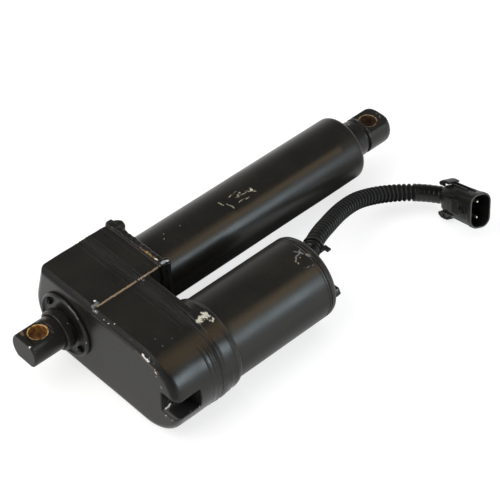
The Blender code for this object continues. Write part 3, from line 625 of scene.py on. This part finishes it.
FITTING_WEAR_AND_SHADING = (
    # Painted shade: near-black in the recess between nut and ring and round the ring's screw heads.
    (DARK, 0.3, [((22.9, -15, 14), (22.9, -19.4, 2), 3.6),
        ((22.9, -19.4, 2), (22.9, -16, -12), 3.6), ((20.2, -14, 6), (20.2, -14, -6), 2.2)]
     + spots([(21.6, 14.9, 12.5), (21.6, -14.9, -12.5)], 4.2)),
    # Painted highlight: a grey arc along the ring's outer edge.
    (GREY, 0.5, [((22.3, -6.9, 23.6), (22.3, -12.5, 21.2), 0.45),
        ((22.3, -12.5, 21.2), (22.3, -16.8, 18), 0.4)]),
    (CREAM, 0.9, spots([(18.4, -10.1, 11.6), (20.9, 13.9, 11.4), (22, -24, 2.2),
        (20.3, -13.8, -11.5)], 0.45)),
)
TUBE_WEAR = (
    (BROWN, 0.9, [((286, 9, 23.4), (289.5, 13, 19), 0.9)]),
    (DULL, 0.8, [((163.1, -2.4, 25.2), (163.6, -5.7, 24.7), 0.5),
        ((166.6, -6.4, 24.5), (169.1, -11.5, 22.6), 0.55),
        ((171.9, -3.3, 25.1), (180.1, -2.3, 25.2), 0.45),
        ((176.2, -6.5, 24.5), (185.1, -7.4, 24.3), 0.5),
        ((175.6, -9.8, 23.4), (183.9, -11.3, 22.7), 0.5),
        ((185.1, -6.1, 24.6), (192, -10.5, 23.1), 0.5)]
     + spots([(178.4, -5.4, 24.7), (189.6, -6.6, 24.5), (181, -4.6, 24.9)], 1)
     + spots([(113.2, -0.1, 25.3), (110.8, -3.5, 25.1), (127, -1, 25.3)], 0.55)),
    (CREAM, 1, [((189, -7.5, 24.2), (190, -8.6, 23.8), 0.6),
        ((289, 7.5, 23.4), (289.2, -0.5, 24.5), 0.9)]),
)
ROD_WEAR = (
    (CREAM, 0.9, spots([(300.1, 2.6, 14.1)], 0.8)),
)
CAN_WEAR = (
    (GREY, 0.9, [((158.4, -84.2, 31.3), (163, -84.4, 31.3), 0.7),
        ((133.2, -83.5, 31.4), (137, -83.4, 31.4), 0.3), ((162, -80, 31.7), (168, -90, 29.8), 0.7),
        ((158, -93, 28.2), (166, -95.5, 27.2), 0.5), ((163, -84, 31.3), (167, -81, 31.6), 0.8)]),
    (DULL, 0.8, [((156.2, -86.2, 30.9), (156.8, -89.4, 30), 0.7),
        ((156.2, -86.2, 30.9), (159, -85, 31.2), 0.5),
        ((164, -82.6, 31.5), (168.3, -88.7, 30.2), 0.4)]
     + spots([(169, -83.2, 30.6), (168.3, -88.7, 30.2), (161.5, -86.4, 30.9)], 0.6)),
)
# Brown dust film that also paints the warm sheen of the light, in bands along the barrels' upper near side.
HOUSING_SHEEN_FILM = [((30, -95.5, 29.6), (64, -95.5, 29.6), 9)]
COVER_SHEEN_FILM = [((64, -95.5, 29.6), (82, -95.5, 29.6), 8)]
TUBE_SHEEN_FILM = [((92, -16.8, 19), (165, -16.8, 19), 6),
    ((165, -16.8, 19), (270, -16.8, 19), 4)]
CAN_SHEEN_FILM = [((88, -98.6, 25), (165, -98.6, 25), 6)]


def metal(name, colour, rough):
    """Machined metal with fine tool marks and some dull film."""
    m = Nodes(name)
    lines = m.noise(700, 3, 0.6)
    film = m.span(m.noise(60, 4, 0.6), 0.4, 0.75)
    dull = tuple(c * 0.35 for c in colour)
    shade = m.mix(m.math("MULTIPLY", film, 0.3), colour, dull)
    roughness = m.span(lines, 0.3, 0.7, rough - 0.06, rough + 0.1)
    m.set(Base_Color=shade, Roughness=roughness, Metallic=1.0, Normal=m.bump(lines, 0.15, 0.05))
    return m.material


def moulded(name, colour, rough, grain):
    """Moulded plastic or rubber: fine grain and slight change of gloss."""
    m = Nodes(name)
    fine = m.noise(900, 3, 0.6)
    cloud = m.noise(70, 4, 0.6)
    lighter = tuple(min(1.0, c * 1.9 + 0.002) for c in colour)
    shade = m.mix(m.math("MULTIPLY", m.span(cloud, 0.4, 0.75), 0.6), colour, lighter)
    roughness = m.span(cloud, 0.3, 0.7, rough - 0.06, rough + 0.08)
    m.set(Base_Color=shade, Roughness=roughness, Normal=m.bump(fine, grain, 0.06),
          Specular_IOR_Level=PLASTIC_GLOSS)
    return m.material


# The two castings.

def case_flank():
    bulge = arc((0, 0), FLANK_R, -15, 15, 24)
    return [(CASE_CORNER_Y, -CASE_HALF)] + bulge + [(CASE_CORNER_Y, CASE_HALF)]


def case_outline():
    middle, radius = (CASE_MOTOR_TOP - CASE_HALF) / 2, (CASE_MOTOR_TOP + CASE_HALF) / 2
    step = [(CASE_STEP_Y, CASE_HALF), (CASE_STEP_Y - 1.6, CASE_MOTOR_TOP)]
    motor_end = arc((MOTOR_Y, middle), radius, 90, 270, 72)
    return case_flank() + step + motor_end + [(CASE_STEP_Y, -CASE_HALF)]


def lug_outline(rise):
    outline = case_flank() + [(CASE_STEP_Y, CASE_HALF), (CASE_STEP_Y, -CASE_HALF)]
    return [(y, max(z, -CASE_HALF)) for y, z in shrink(outline, -rise)]


def circle_chain(circles, steps):
    """Outline round a row of overlapping circles (y, radius) whose centres lie on the Y axis."""
    crossings = []
    for (y1, r1), (y2, r2) in zip(circles, circles[1:]):
        y = ((r1 ** 2 - r2 ** 2) - (y1 ** 2 - y2 ** 2)) / (2 * (y2 - y1))
        crossings.append((y, math.sqrt(r1 ** 2 - (y - y1) ** 2)))
    upper = []
    for i, (y, radius) in enumerate(circles):
        start, end = 0, 180
        if i:
            start = math.degrees(math.atan2(crossings[i - 1][1], crossings[i - 1][0] - y))
        if i < len(crossings):
            end = math.degrees(math.atan2(crossings[i][1], crossings[i][0] - y))
        upper += arc((y, 0), radius, start, end, steps)[1 if i else 0:]
    return upper + [(y, -z) for y, z in reversed(upper[1:-1])]


def distance_to(outline, points):
    """Distance of each (y, z) point from an outline."""
    nearest = np.full(len(points), 1e9)
    for start, end in zip(outline, outline[1:] + outline[:1]):
        start, run = np.array(start), np.array(end) - np.array(start)
        share = np.clip((points - start) @ run / (run @ run), 0, 1)
        nearest = np.minimum(nearest, np.hypot(*(points - start - share[:, None] * run).T))
    return nearest


def ridged(points, normals):
    """Slightly uneven ridges on the castings' outside, and the slow waves of a sand casting."""
    x, y, z = points.T
    skin = (distance_to(case_outline(), points[:, 1:]) < 0.7) & (np.abs(normals[:, 0]) < 0.6)
    height = sum(rise * np.exp(-((x - place) / width) ** 2) for place, rise, width in RIDGES)
    uneven = 0.75 + 0.25 * np.sin(y * 0.21 + z * 0.13) * np.sin(y * 0.057 - 1.0)
    waves = 0.10 * np.sin(x * 0.23 + 1.0) * np.sin(y * 0.11 + z * 0.07)
    return np.where(z > POST_ENDS[0], np.where(skin, height * uneven, 0.0) + waves, 0.0)


def make_gear_housing(paint, pocket_shade):
    outline = case_outline()
    sections = []
    for step in range(9):
        angle = math.pi / 2 * step / 8
        inset = CASE_ROUND * (1 - math.sin(angle))
        sections.append((CASE_BACK + CASE_ROUND * (1 - math.cos(angle)), shrink(outline, inset)))
    housing = make_object("gear_housing_cast", loft(sections + [(CASE_SPLIT, outline)]))
    depth = 70
    pocket = prism(rounded_rectangle(depth, 15.5, 3.0), 20, POCKET_FRONT)
    cutters = [prism(circle_chain(ROOM, 24), CASE_BACK + CASE_WALL, 70), rod(20, 35, EYE_R + 0.35),
               moved(rod(26.4, 35, IDLER_SEAT_R), (0, IDLER_Y, 0)),
               moved(pocket, (0, POCKET_FACE_Y - depth / 2, POCKET_MIDDLE)),
               moved(rod(0, 30, 9.5), (21.5, POCKET_FACE_Y + 3, 0), (0, -1, 0))]
    cutters += [moved(rod(38, 70, SCREW_HOLE_R, 24), (0, y, z)) for y, z in CASE_SCREWS]
    cut(housing, cutters)
    cast(housing, 0.5, 2, 0.3, ridged)
    finish_piece(housing, paint, "gear_housing")
    # Faces inside the pocket take a near-black material: painted shade.
    housing.data.materials.append(pocket_shade)
    for face in housing.data.polygons:
        x, y, z = (face.center - SHIFT) / MM
        if (x < POCKET_FRONT + 0.4 and y < POCKET_FACE_Y - 0.5 and abs(z - POCKET_MIDDLE) < 8.2
                and math.hypot(y - MOTOR_Y, z + 0.6) < 33.2):
            face.material_index = 1


def lip_wave(points, normals):
    """The cover's ridges, and a lip that hammering has left uneven."""
    x, y, z = points.T
    lip = (x > LIP_BACK) & (z > CASE_HALF - 0.5) & (y > -40)
    dents = 0.25 * np.sin(y * 0.9) * np.sin(y * 0.37 + 1) + 0.1
    return ridged(points, normals) + np.where(lip, dents, 0.0)


def make_front_cover(paint):
    outline = case_outline()
    lip = 1.2
    plate = [(COVER_BACK, outline), (COVER_FACE - lip, outline),
             (COVER_FACE - 0.4, shrink(outline, 0.35)), (COVER_FACE, shrink(outline, lip))]
    cover = make_object("front_cover_cast", loft(plate))
    cut(cover, [moved(rod(60, 69, IDLER_SEAT_R), (0, IDLER_Y, 0))])
    lug = ((67.1, -0.03), (LIP_BACK - 1.8, -0.03), (LIP_BACK - 1.4, -0.5), (LIP_BACK - 0.4, -0.5),
           (LIP_BACK, 0.4), (LIP_BACK + 0.6, LIP_RISE), (LUG_FACE - 1.4, LIP_RISE),
           (LUG_FACE - 0.4, 1.2), (LUG_FACE, 0.3))
    cut(cover, [loft([(x, lug_outline(rise)) for x, rise in lug])], operation="UNION")
    low, high = POST_ENDS
    for x, y, radius in LUG_POSTS:
        post = rounded_profile([(low, 0), (low, radius), (high, radius), (high, 0)], 1.0)
        cut(cover, [moved(turned(post, 48), (x, y, 0), (0, 0, 1))], operation="UNION")
    boss = [(68.3, 20), (68.3, BOSS_R), (79.5, BOSS_R), (81.5, BOSS_R - 0.5),
            (82.8, BOSS_R - 1.4), (82.8, 20)]
    cut(cover, [moved(turned(boss), (0, MOTOR_Y, 0))], operation="UNION")
    bore = [(60, 0), (60, 10), (66.7, 10), (66.7, 17.8), (TUBE_BACK - GAP, 17.8),
            (TUBE_BACK - GAP, TUBE_R + GAP), (100, TUBE_R + GAP), (100, 0)]
    seat = [(60, 0), (60, 6), (66, 6), (66, 11.3), (70, 11.3), (70, MOTOR_R + GAP),
            (100, MOTOR_R + GAP), (100, 0)]
    hole = [(60, 0), (60, SCREW_HOLE_R), (67, SCREW_HOLE_R), (67, 4.7), (100, 4.7), (100, 0)]
    cutters = [turned(bore), moved(turned(seat), (0, MOTOR_Y, 0))]
    cutters += [moved(turned(hole, 32), (0, y, z)) for y, z in CASE_SCREWS]
    cutters += [moved(rod(66.5, 72, SCREW_HOLE_R, 24), place) for place in BOLT_PLACES]
    cut(cover, cutters)
    bump = [(0, 0), (0, 3.6), (4.6, 3.2), (5.6, 1.8), (5.9, 0)]
    add_bodies(cover, [moved(turned(bump, 32), (83.8, 24.2, 33.8))])
    cast(cover, 0.5, 2, 0.3, lip_wave)
    finish_piece(cover, paint, "front_cover")


# Rear eye, rod eye, tube and motor.

def make_eye(name, profile, flats, hole_x, paint, replaced, body):
    """A turned eye with two flats and a cross hole with chamfered mouths."""
    eye = make_object(name, turned(profile))
    low, high = flats
    cut(eye, [box((low, -30, EYE_FLAT), (high, 30, 30)),
              box((low, -30, -30), (high, 30, -EYE_FLAT)),
              moved(rod(-20, 20, PIN_HOLE_R), (hole_x, 0, 0), (0, 0, 1))])
    deep, out = EYE_FLAT - 0.5, EYE_FLAT + 0.6
    mouth = [(deep, 0), (deep, PIN_HOLE_R), (out, PIN_HOLE_R + 1.1), (out, 0)]
    cut(eye, [moved(turned(mouth), (hole_x, 0, 0), (0, 0, side)) for side in (1, -1)])
    cast(eye, 0.38, 3)
    finish_piece(eye, paint, replaced, body=body)


def make_rear_adapter(paint):
    profile = [(EYE_BACK, 0), (EYE_BACK, EYE_R - 0.9), (EYE_BACK + 0.3, EYE_R - 0.35),
               (EYE_BACK + 0.9, EYE_R), (29.6, EYE_R), (29.6 + GAP, 20), (34.6, 20), (34.6, 6.4),
               (31.2, 6.4), (31.2, 0)]
    make_eye("rear_eye", profile, (EYE_BACK - 5, 7.4), 0, paint, "rear_adapter", "housing")


def make_rod_end(paint):
    inner = ROD_R - ROD_WALL - GAP
    profile = [(289, 0), (289, inner), (304.9, inner), (304.9, 12.4), (307.2, 12.4),
               (307.6, ROD_R - 0.3), (308.2, ROD_R), (325.8, ROD_R), (328.0, 13.9), (329.6, 13.1),
               (330.8, 11.8), (ROD_TIP, 9.8), (ROD_TIP, 0)]
    make_eye("rod_eye", profile, (309.5, 340), ROD_HOLE_X, paint, "rod_end_eye", "rod")


def make_adapter_fittings(paint):
    bore = EYE_R + GAP
    ring = [(22.9, 16.2), (22.9, 22.0), (21.4, 22.8), (21.4, 23.9), (22.6, 24.9), (24.1, 24.9),
            (24.1, bore), (22.9, bore)]
    piece = make_object("adapter_ring_turned", turned(rounded_profile(ring, 0.7)))
    finish_piece(piece, paint, "adapter_ring", sharp=40)
    nut = [(13.6, bore), (13.6, 14.6), (14.2, 15.2), (20.4, 15.2), (20.4, bore)]
    piece = make_object("lock_nut_turned", turned(rounded_profile(nut, 0.5)))
    finish_piece(piece, paint, "adapter_lock_nut", sharp=40)
    screw = [(20.4, 0), (20.6, 1.6), (21.2, 2.2), (22.6, 2.4), (22.6, 1.5), (27.6, 1.5), (27.6, 0)]
    for number, degrees in enumerate((40, 220), 1):
        angle = math.radians(degrees)
        place = (0, RING_SCREWS_R * math.cos(angle), RING_SCREWS_R * math.sin(angle))
        head = make_object(f"ring_screw_head_{number}", moved(turned(screw, 32), place))
        cut(head, [moved(box((19, -0.4, -4), (21.2, 0.4, 4)), place)])
        finish_piece(head, paint, f"ring_screw_{number}", sharp=35)


def fine_run(start, end, radius):
    """Profile points along a straight barrel, about 3 mm apart so that it can bend a little."""
    count = max(1, round((end - start) / 3))
    return [(start + (end - start) * i / count, radius) for i in range(count + 1)]


def make_cover_tube(paint):
    inner = TUBE_R - TUBE_WALL
    profile = [(TUBE_BACK, inner)] + fine_run(TUBE_BACK, TUBE_FRONT - 4, TUBE_R)
    for t in (0.25, 0.45, 0.6, 0.72, 0.82, 0.9, 0.96, 1.0):
        profile.append((TUBE_FRONT - 4 * (1 - t), TUBE_R - 2.8 * t ** 2.4))
    profile += [(TUBE_FRONT + 0.1, 21.4), (TUBE_FRONT - 0.3, 20.4), (TUBE_FRONT - 2.4, 20.2),
                (TUBE_FRONT - 2.4, inner)]
    piece = make_object("tube_barrel", turned(profile))
    for vert in piece.data.vertices:
        out = Vector((0, vert.co.y - AXIS_Y, vert.co.z - AXIS_Z))
        vert.co += out.normalized() * noise.noise(vert.co * 22) * 0.12 * MM
    finish_piece(piece, paint, "cover_tube", sharp=50)


def make_rod(paint):
    inner = ROD_R - ROD_WALL
    profile = [(108.3, inner), (108.3, ROD_R), (304.6, ROD_R), (304.6, inner)]
    piece = make_object("rod_tube", turned(rounded_profile(profile, 0.5)))
    finish_piece(piece, paint, "extension_tube", sharp=40, body="rod")


def make_motor(paint, end_paint):
    centre = (0, MOTOR_Y, 0)
    inner = MOTOR_R - MOTOR_WALL
    profile = [(CAN_BACK, inner)] + fine_run(CAN_BACK, CAN_FRONT - 3, MOTOR_R)
    profile += [(CAN_FRONT - 2.6, MOTOR_R - 0.35), (CAN_FRONT - 2.0, MOTOR_R - 0.35),
                (CAN_FRONT - 1.6, MOTOR_R), (CAN_FRONT - 0.4, MOTOR_R), (CAN_FRONT, MOTOR_R - 0.4),
                (CAN_FRONT, inner)]
    can = make_object("motor_barrel", moved(turned(profile), centre))
    finish_piece(can, paint, "motor_can", sharp=40)
    bell = [(169.0, 27.4), (163.0, 27.4), (163.0, 29.4), (169.0, 29.4), (169.0, MOTOR_R - 0.3),
            (169.3, MOTOR_R), (171.4, MOTOR_R - 0.1), (173.0, 31.1), (174.1, 30.1),
            (BELL_FRONT, 28.6), (BELL_FRONT, 12.5), (175.6, 11.5), (175.6, 0), (171.9, 0),
            (171.9, 8.3), (164.5, 8.3), (164.5, 11), (171.0, 11), (171.0, 27.4)]
    end = make_object("motor_end", moved(turned(bell), centre))
    cutters = [moved(rod(160, 180, 2.9, 32), place) for place in BOLT_PLACES]
    cut(end, cutters + [moved(rod(160, 180, 4.6, 48), (0, *CORD_HOLE))])
    finish_piece(end, end_paint, "motor_end_bell", sharp=28)
    hexagons = [(x, circle((0, 0), r, 6)) for x, r in ((174.9, 4.6), (178.9, 4.7), (179.6, 4.0))]
    for number, place in enumerate(BOLT_PLACES, 1):
        bolt = moved(rod(67, 177, BOLT_R, 32), place)
        bolt = make_object(f"motor_through_bolt_{number}", bolt)
        cut(bolt, [moved(loft(hexagons), place)], operation="UNION")
        bevel = bolt.modifiers.new("edges", "BEVEL")
        bevel.width, bevel.segments, bevel.limit_method = 0.25 * MM, 2, "ANGLE"
        apply_modifiers(bolt)
        finish_piece(bolt, end_paint, f"motor_bolt_{number}", sharp=35)


# The lead.

def smooth_route(points, spacing):
    """Points about a spacing apart on a Catmull-Rom curve through the route's own points."""
    route = [Vector(point) for point in points]
    ends = [2 * route[0] - route[1]] + route + [2 * route[-1] - route[-2]]
    fine = []
    for a, b, c, d in zip(ends, ends[1:], ends[2:], ends[3:]):
        for step in range(12):
            t = step / 12
            fine.append(0.5 * ((2 * b) + (c - a) * t + (2 * a - 5 * b + 4 * c - d) * t ** 2
                               + (3 * b - a - 3 * c + d) * t ** 3))
    fine.append(route[-1])
    lengths = [0.0]
    for first, second in zip(fine, fine[1:]):
        lengths.append(lengths[-1] + (second - first).length)
    count = max(2, round(lengths[-1] / spacing))
    result = []
    for i in range(count + 1):
        want = lengths[-1] * i / count
        index = next(n for n, length in enumerate(lengths) if length >= want - 1e-6)
        index = min(max(1, index), len(fine) - 1)
        part = (want - lengths[index - 1]) / max(lengths[index] - lengths[index - 1], 1e-9)
        result.append(fine[index - 1].lerp(fine[index], min(part, 1.0)))
    return result


def sweep(points, radii):
    """Closed tube along points with a radius at each, without twist."""
    bm = bmesh.new()
    rings = []
    side = Vector((0, 0, 1))
    for i, point in enumerate(points):
        ahead = (points[min(i + 1, len(points) - 1)] - points[max(i - 1, 0)]).normalized()
        side = (side - ahead * side.dot(ahead)).normalized()
        up = ahead.cross(side)
        ring = []
        for step in range(SWEEP_SIDES):
            angle = 2 * math.pi * step / SWEEP_SIDES
            out = side * math.cos(angle) + up * math.sin(angle)
            ring.append(bm.verts.new(point + out * radii[i]))
        rings.append(ring)
    skin_rings(bm, rings)
    return bm


def rib_height(along):
    """Share of a rib's height, 0 at the bottom of a furrow to 1 on the crown."""
    wave = math.cos(2 * math.pi * along / RIB_PITCH)
    return 0.5 + 0.5 * math.copysign(abs(wave) ** 0.6, wave)


def conduit_radius(along, total):
    """Ribbed like split loom, with tape over its last stretch that shows the ribs beneath."""
    ribbed = CONDUIT_R - RIB_DEPTH * (1 - rib_height(along))
    taped = CONDUIT_R - 0.12 + 0.22 * rib_height(along)
    cover = min(1.0, max(0.0, (along - (total - TAPE_LENGTH)) / 0.5))
    return ribbed * (1 - cover) + taped * cover


def make_lead(plastic, recess_shade, tape, rubbed, pins):
    points = smooth_route(CONDUIT_ROUTE, RIB_PITCH / 14)
    total = sum((b - a).length for a, b in zip(points, points[1:]))
    places = [total * i / (len(points) - 1) for i in range(len(points))]
    radii = [conduit_radius(place, total) for place in places]
    conduit = make_object("ribbed_conduit", sweep(points, radii))
    finish_piece(conduit, plastic, "conduit")
    conduit.data.materials.append(tape)
    # The furrows between the ribs take a near-black material: painted shade.
    conduit.data.materials.append(recess_shade)
    for face in conduit.data.polygons:
        along = places[min(face.index // SWEEP_SIDES, len(places) - 2)]
        if along > total - TAPE_LENGTH:
            face.material_index = 1
        elif rib_height(along) < 0.45:
            face.material_index = 2
    pieces = make_connector(plastic, recess_shade, rubbed, pins) + [make_tie(plastic)]


def make_tie(plastic):
    start, after = smooth_route(CONDUIT_ROUTE, 14)[:2]
    place = start.lerp(after, 0.45)
    inner, outer = CONDUIT_R + 0.1, CONDUIT_R + 0.9
    band = rounded_profile([(-1.3, inner), (-1.3, outer), (1.3, outer), (1.3, inner)], 0.3)
    tie = make_object("lead_tie", moved(turned(band, 64), place, after - start))
    head = box((-0.6, -8.8, -0.6), (3.0, -6.2, 2.2))
    tail = box((1.8, -12.5, 0.8), (5.4, -6.6, 2.4))
    add_bodies(tie, [moved(head, place), moved(tail, place)])
    cast(tie, 0.3, 2)
    return finish_piece(tie, plastic, "cable_tie")


def make_connector(plastic, inside, rubbed, pins):
    """A sealed two-way plug: a tapered shell with a deep oval mouth, hooked wings and two pins."""
    along = Vector(CONNECTOR_AXIS).normalized()
    side = Vector(CONNECTOR_UP).cross(along).normalized()
    turn = Matrix((along, side, along.cross(side))).transposed().to_4x4()
    turn = Matrix.Translation(CONNECTOR_REAR) @ turn
    width, height, length = CONNECTOR_SIZE
    top, near = height / 2, width / 2
    steps = ((0.0, 6.5, 4), (0.5, 5.8, 4.4), (4.0, 4.0, 5), (9.0, 2.4, 6), (13.0, 1.4, 6.6),
             (length - 4.5, 0.2, 7.3), (length - 4.0, -0.4, 7.5), (length - 0.5, -0.4, 7.5),
             (length, 0.3, 7.3))
    body = [(x, rounded_rectangle(width - inset, height - inset * 1.2, radius))
            for x, inset, radius in steps]
    shell = make_object("plug_shell", loft(body), turn)
    mouth = prism(rounded_rectangle(width - 2.2, height - 2.2, 6.4), 18, length + 10)
    slot = box((3, -2.4, top - 2.2), (26, -0.4, top + 3))
    hole = rounded_rectangle(3.4, 3.4, 0.8, 3)
    cut(shell, [mouth, slot] + [moved(prism(hole, 8, 30), (0, 0, z)) for z in TERMINAL_Z], turn)
    rails = [box((6, -0.3, top - 3), (31, 1.0, top + 0.9)),
             box((8, -3.8, top - 3), (26, -2.6, top + 0.5))]
    steps = ((9, 1.0, 9, 0.4), (19, 5.0, 11, 0.9), (25, 5.0, 11, 0.9), (26, 2.0, 10, 0.6))
    ramp = loft([(x, rounded_rectangle(wide, tall, radius, 2)) for x, wide, tall, radius in steps])
    button = turned(rounded_profile([(0, 0), (0, 2.5), (2.4, 2.1), (2.4, 0)], 0.4), 32)
    ribs = [box((4, -near - 0.3, z - 0.6), (17, -near + 2, z + 0.6)) for z in (-8.2, 6.6)]
    collar = [(-5.4, 0), (-5.4, 6.1), (-4.8, 6.7), (-0.8, 6.9), (1.6, 7.4), (1.6, 0)]
    add_bodies(shell, rails + [moved(ramp, (0, -near + 0.4, 0)),
                               moved(button, (28.6, -near, -1.5), (0, -1, 0)),
                               turned(collar, 48)] + ribs, turn)
    cast(shell, 0.32, 1)
    finish_piece(shell, plastic, "connector_shell")
    # The mouth's inside takes the near-black material: painted shade.
    shell.data.materials.append(inside)
    shell.data.materials.append(rubbed)
    to_plug = (TO_ROW @ turn).inverted()
    for face in shell.data.polygons:
        x, y, z = to_plug @ face.center
        if 17 < x < length - 1.2 and abs(y) < near - 1.5 and abs(z) < top - 1.5:
            face.material_index = 1
        elif x > length - 0.45:
            face.material_index = 2
    pieces = [shell]
    steps = ((-2.6, 1.4, -1.5), (-1.4, 2.0, -0.6), (0.6, 2.2, 0.5), (4.0, 2.2, 0.9), (8.0, 1.8, 0.8))
    for name, sign in (("upper", 1), ("lower", -1)):
        sections = [(x, [(y, (z + lift) * sign) for y, z in rounded_rectangle(11, deep, 0.8, 3)])
                    for x, deep, lift in steps]
        hinge = turn @ Matrix.Translation((0, -1.5, sign * (top - 0.2)))
        wing = make_object(f"plug_wing_{name}", loft(sections), hinge)
        root = sign * (top - 1.4)
        ears = [box((-2.0, y, root - 1.5), (3.5, y + 1.6, root + 1.5)) for y in (-6.8, 2.4)]
        add_bodies(wing, ears, turn)
        cast(wing, 0.3, 1)
        pieces.append(finish_piece(wing, plastic, f"lock_wing_{name}"))
    steps = ((9.4, 2.4, 0.5), (32.4, 2.4, 0.5), (34.0, 1.2, 0.3))
    pin = [(x, rounded_rectangle(wide, wide, radius, 3)) for x, wide, radius in steps]
    for number, z in enumerate(TERMINAL_Z, 1):
        place = turn @ Matrix.Translation((0, 0, z))
        piece = make_object(f"plug_pin_{number}", loft(pin), place)
        pieces.append(finish_piece(piece, pins, f"terminal_pin_{number}", 40))
    return pieces


def make_grommet(rubber):
    profile = [(169.0, 0), (169.0, 4.2), (174.9, 4.2), (174.9, 9.4), (176.6, 9.4), (177.6, 8.0),
               (177.6, 0)]
    grommet = moved(turned(rounded_profile(profile, 0.5), 64), (0, *CORD_HOLE))
    finish_piece(make_object("lead_grommet", grommet), rubber, "cord_grommet", 40)


# Nodes that keep their CAD shape get finished materials.

def make_materials():
    made = {"black_paint": painted("black_paint", 0.3, 0.5),
            "painted_steel": painted("painted_steel", 0.26, 0.25)}
    for name, colour, rough in (
            ("steel", (0.42, 0.42, 0.42), 0.32), ("bronze", (0.46, 0.28, 0.12), 0.36),
            ("brass", (0.62, 0.45, 0.18), 0.32), ("tinned_brass", (0.78, 0.74, 0.64), 0.3),
            ("copper", (0.62, 0.27, 0.13), 0.34)):
        made[name] = metal(name, colour, rough)
    for name, colour, rough, grain in (
            ("gasket", (0.012, 0.012, 0.011), 0.7, 0.25), ("nylon", (0.55, 0.53, 0.46), 0.45, 0.25),
            ("rubber", (0.012, 0.012, 0.012), 0.6, 0.25), ("ferrite", (0.05, 0.05, 0.055), 0.5, 0.5),
            ("fibre_board", (0.20, 0.11, 0.045), 0.65, 0.5),
            ("carbon", (0.025, 0.025, 0.025), 0.4, 0.25),
            ("black_plastic", (0.0062, 0.0062, 0.0058), 0.36, 0.25),
            # near-black, for painted shade in furrows, the case's pocket and the plug's mouth
            ("recess_shade", (0.003, 0.003, 0.003), 0.8, 0.25),
            ("tape", (0.0062, 0.0062, 0.0058), 0.26, 0.12),
            ("rubbed_plastic", (0.045, 0.045, 0.043), 0.4, 0.25)):
        made[name] = moulded(name, colour, rough, grain)
    return made


def dress_cad_nodes(mats):
    slots = {entry["node"]: entry["material_slot"] for entry in frame["record"]["subparts"]}
    for name, node in frame["nodes"].items():
        node.data.materials.clear()
        node.data.materials.append(mats[slots[name]])


def make_actuator():
    mats = make_materials()
    dress_cad_nodes(mats)
    make_lead(mats["black_plastic"], mats["recess_shade"], mats["tape"], mats["rubbed_plastic"],
              mats["tinned_brass"])
    make_grommet(mats["rubber"])
    paint = painted("housing_paint", 0.28, 0.45, 0.8, HOUSING_WEAR_AND_SHADING, HOUSING_SHEEN_FILM)
    make_gear_housing(paint, mats["recess_shade"])
    make_front_cover(painted("cover_paint", 0.28, 0.45, 0.8, COVER_WEAR_AND_SHADING, COVER_SHEEN_FILM))
    hole = (0, BRASS, (0.36, 0.15, 0.028))
    make_rear_adapter(painted("rear_eye_paint", 0.30, 0.35, 0.4, EYE_WEAR, hole=hole))
    hole = (ROD_HOLE_X, TAN, (0.09, 0.035, 0.010))
    make_rod_end(painted("rod_eye_paint", 0.30, 0.35, 0.4, ROD_EYE_WEAR, hole=hole))
    make_adapter_fittings(painted("fitting_paint", 0.30, 0.3, 0.5, FITTING_WEAR_AND_SHADING))
    make_cover_tube(painted("tube_paint", 0.31, 0.25, 0.25, TUBE_WEAR, TUBE_SHEEN_FILM))
    make_rod(painted("rod_paint", 0.28, 0.25, 0.25, ROD_WEAR))
    paint = painted("can_paint", 0.31, 0.25, 0.3, CAN_WEAR, CAN_SHEEN_FILM)
    make_motor(paint, mats["painted_steel"])


add_camera()
add_studio()
make_actuator()
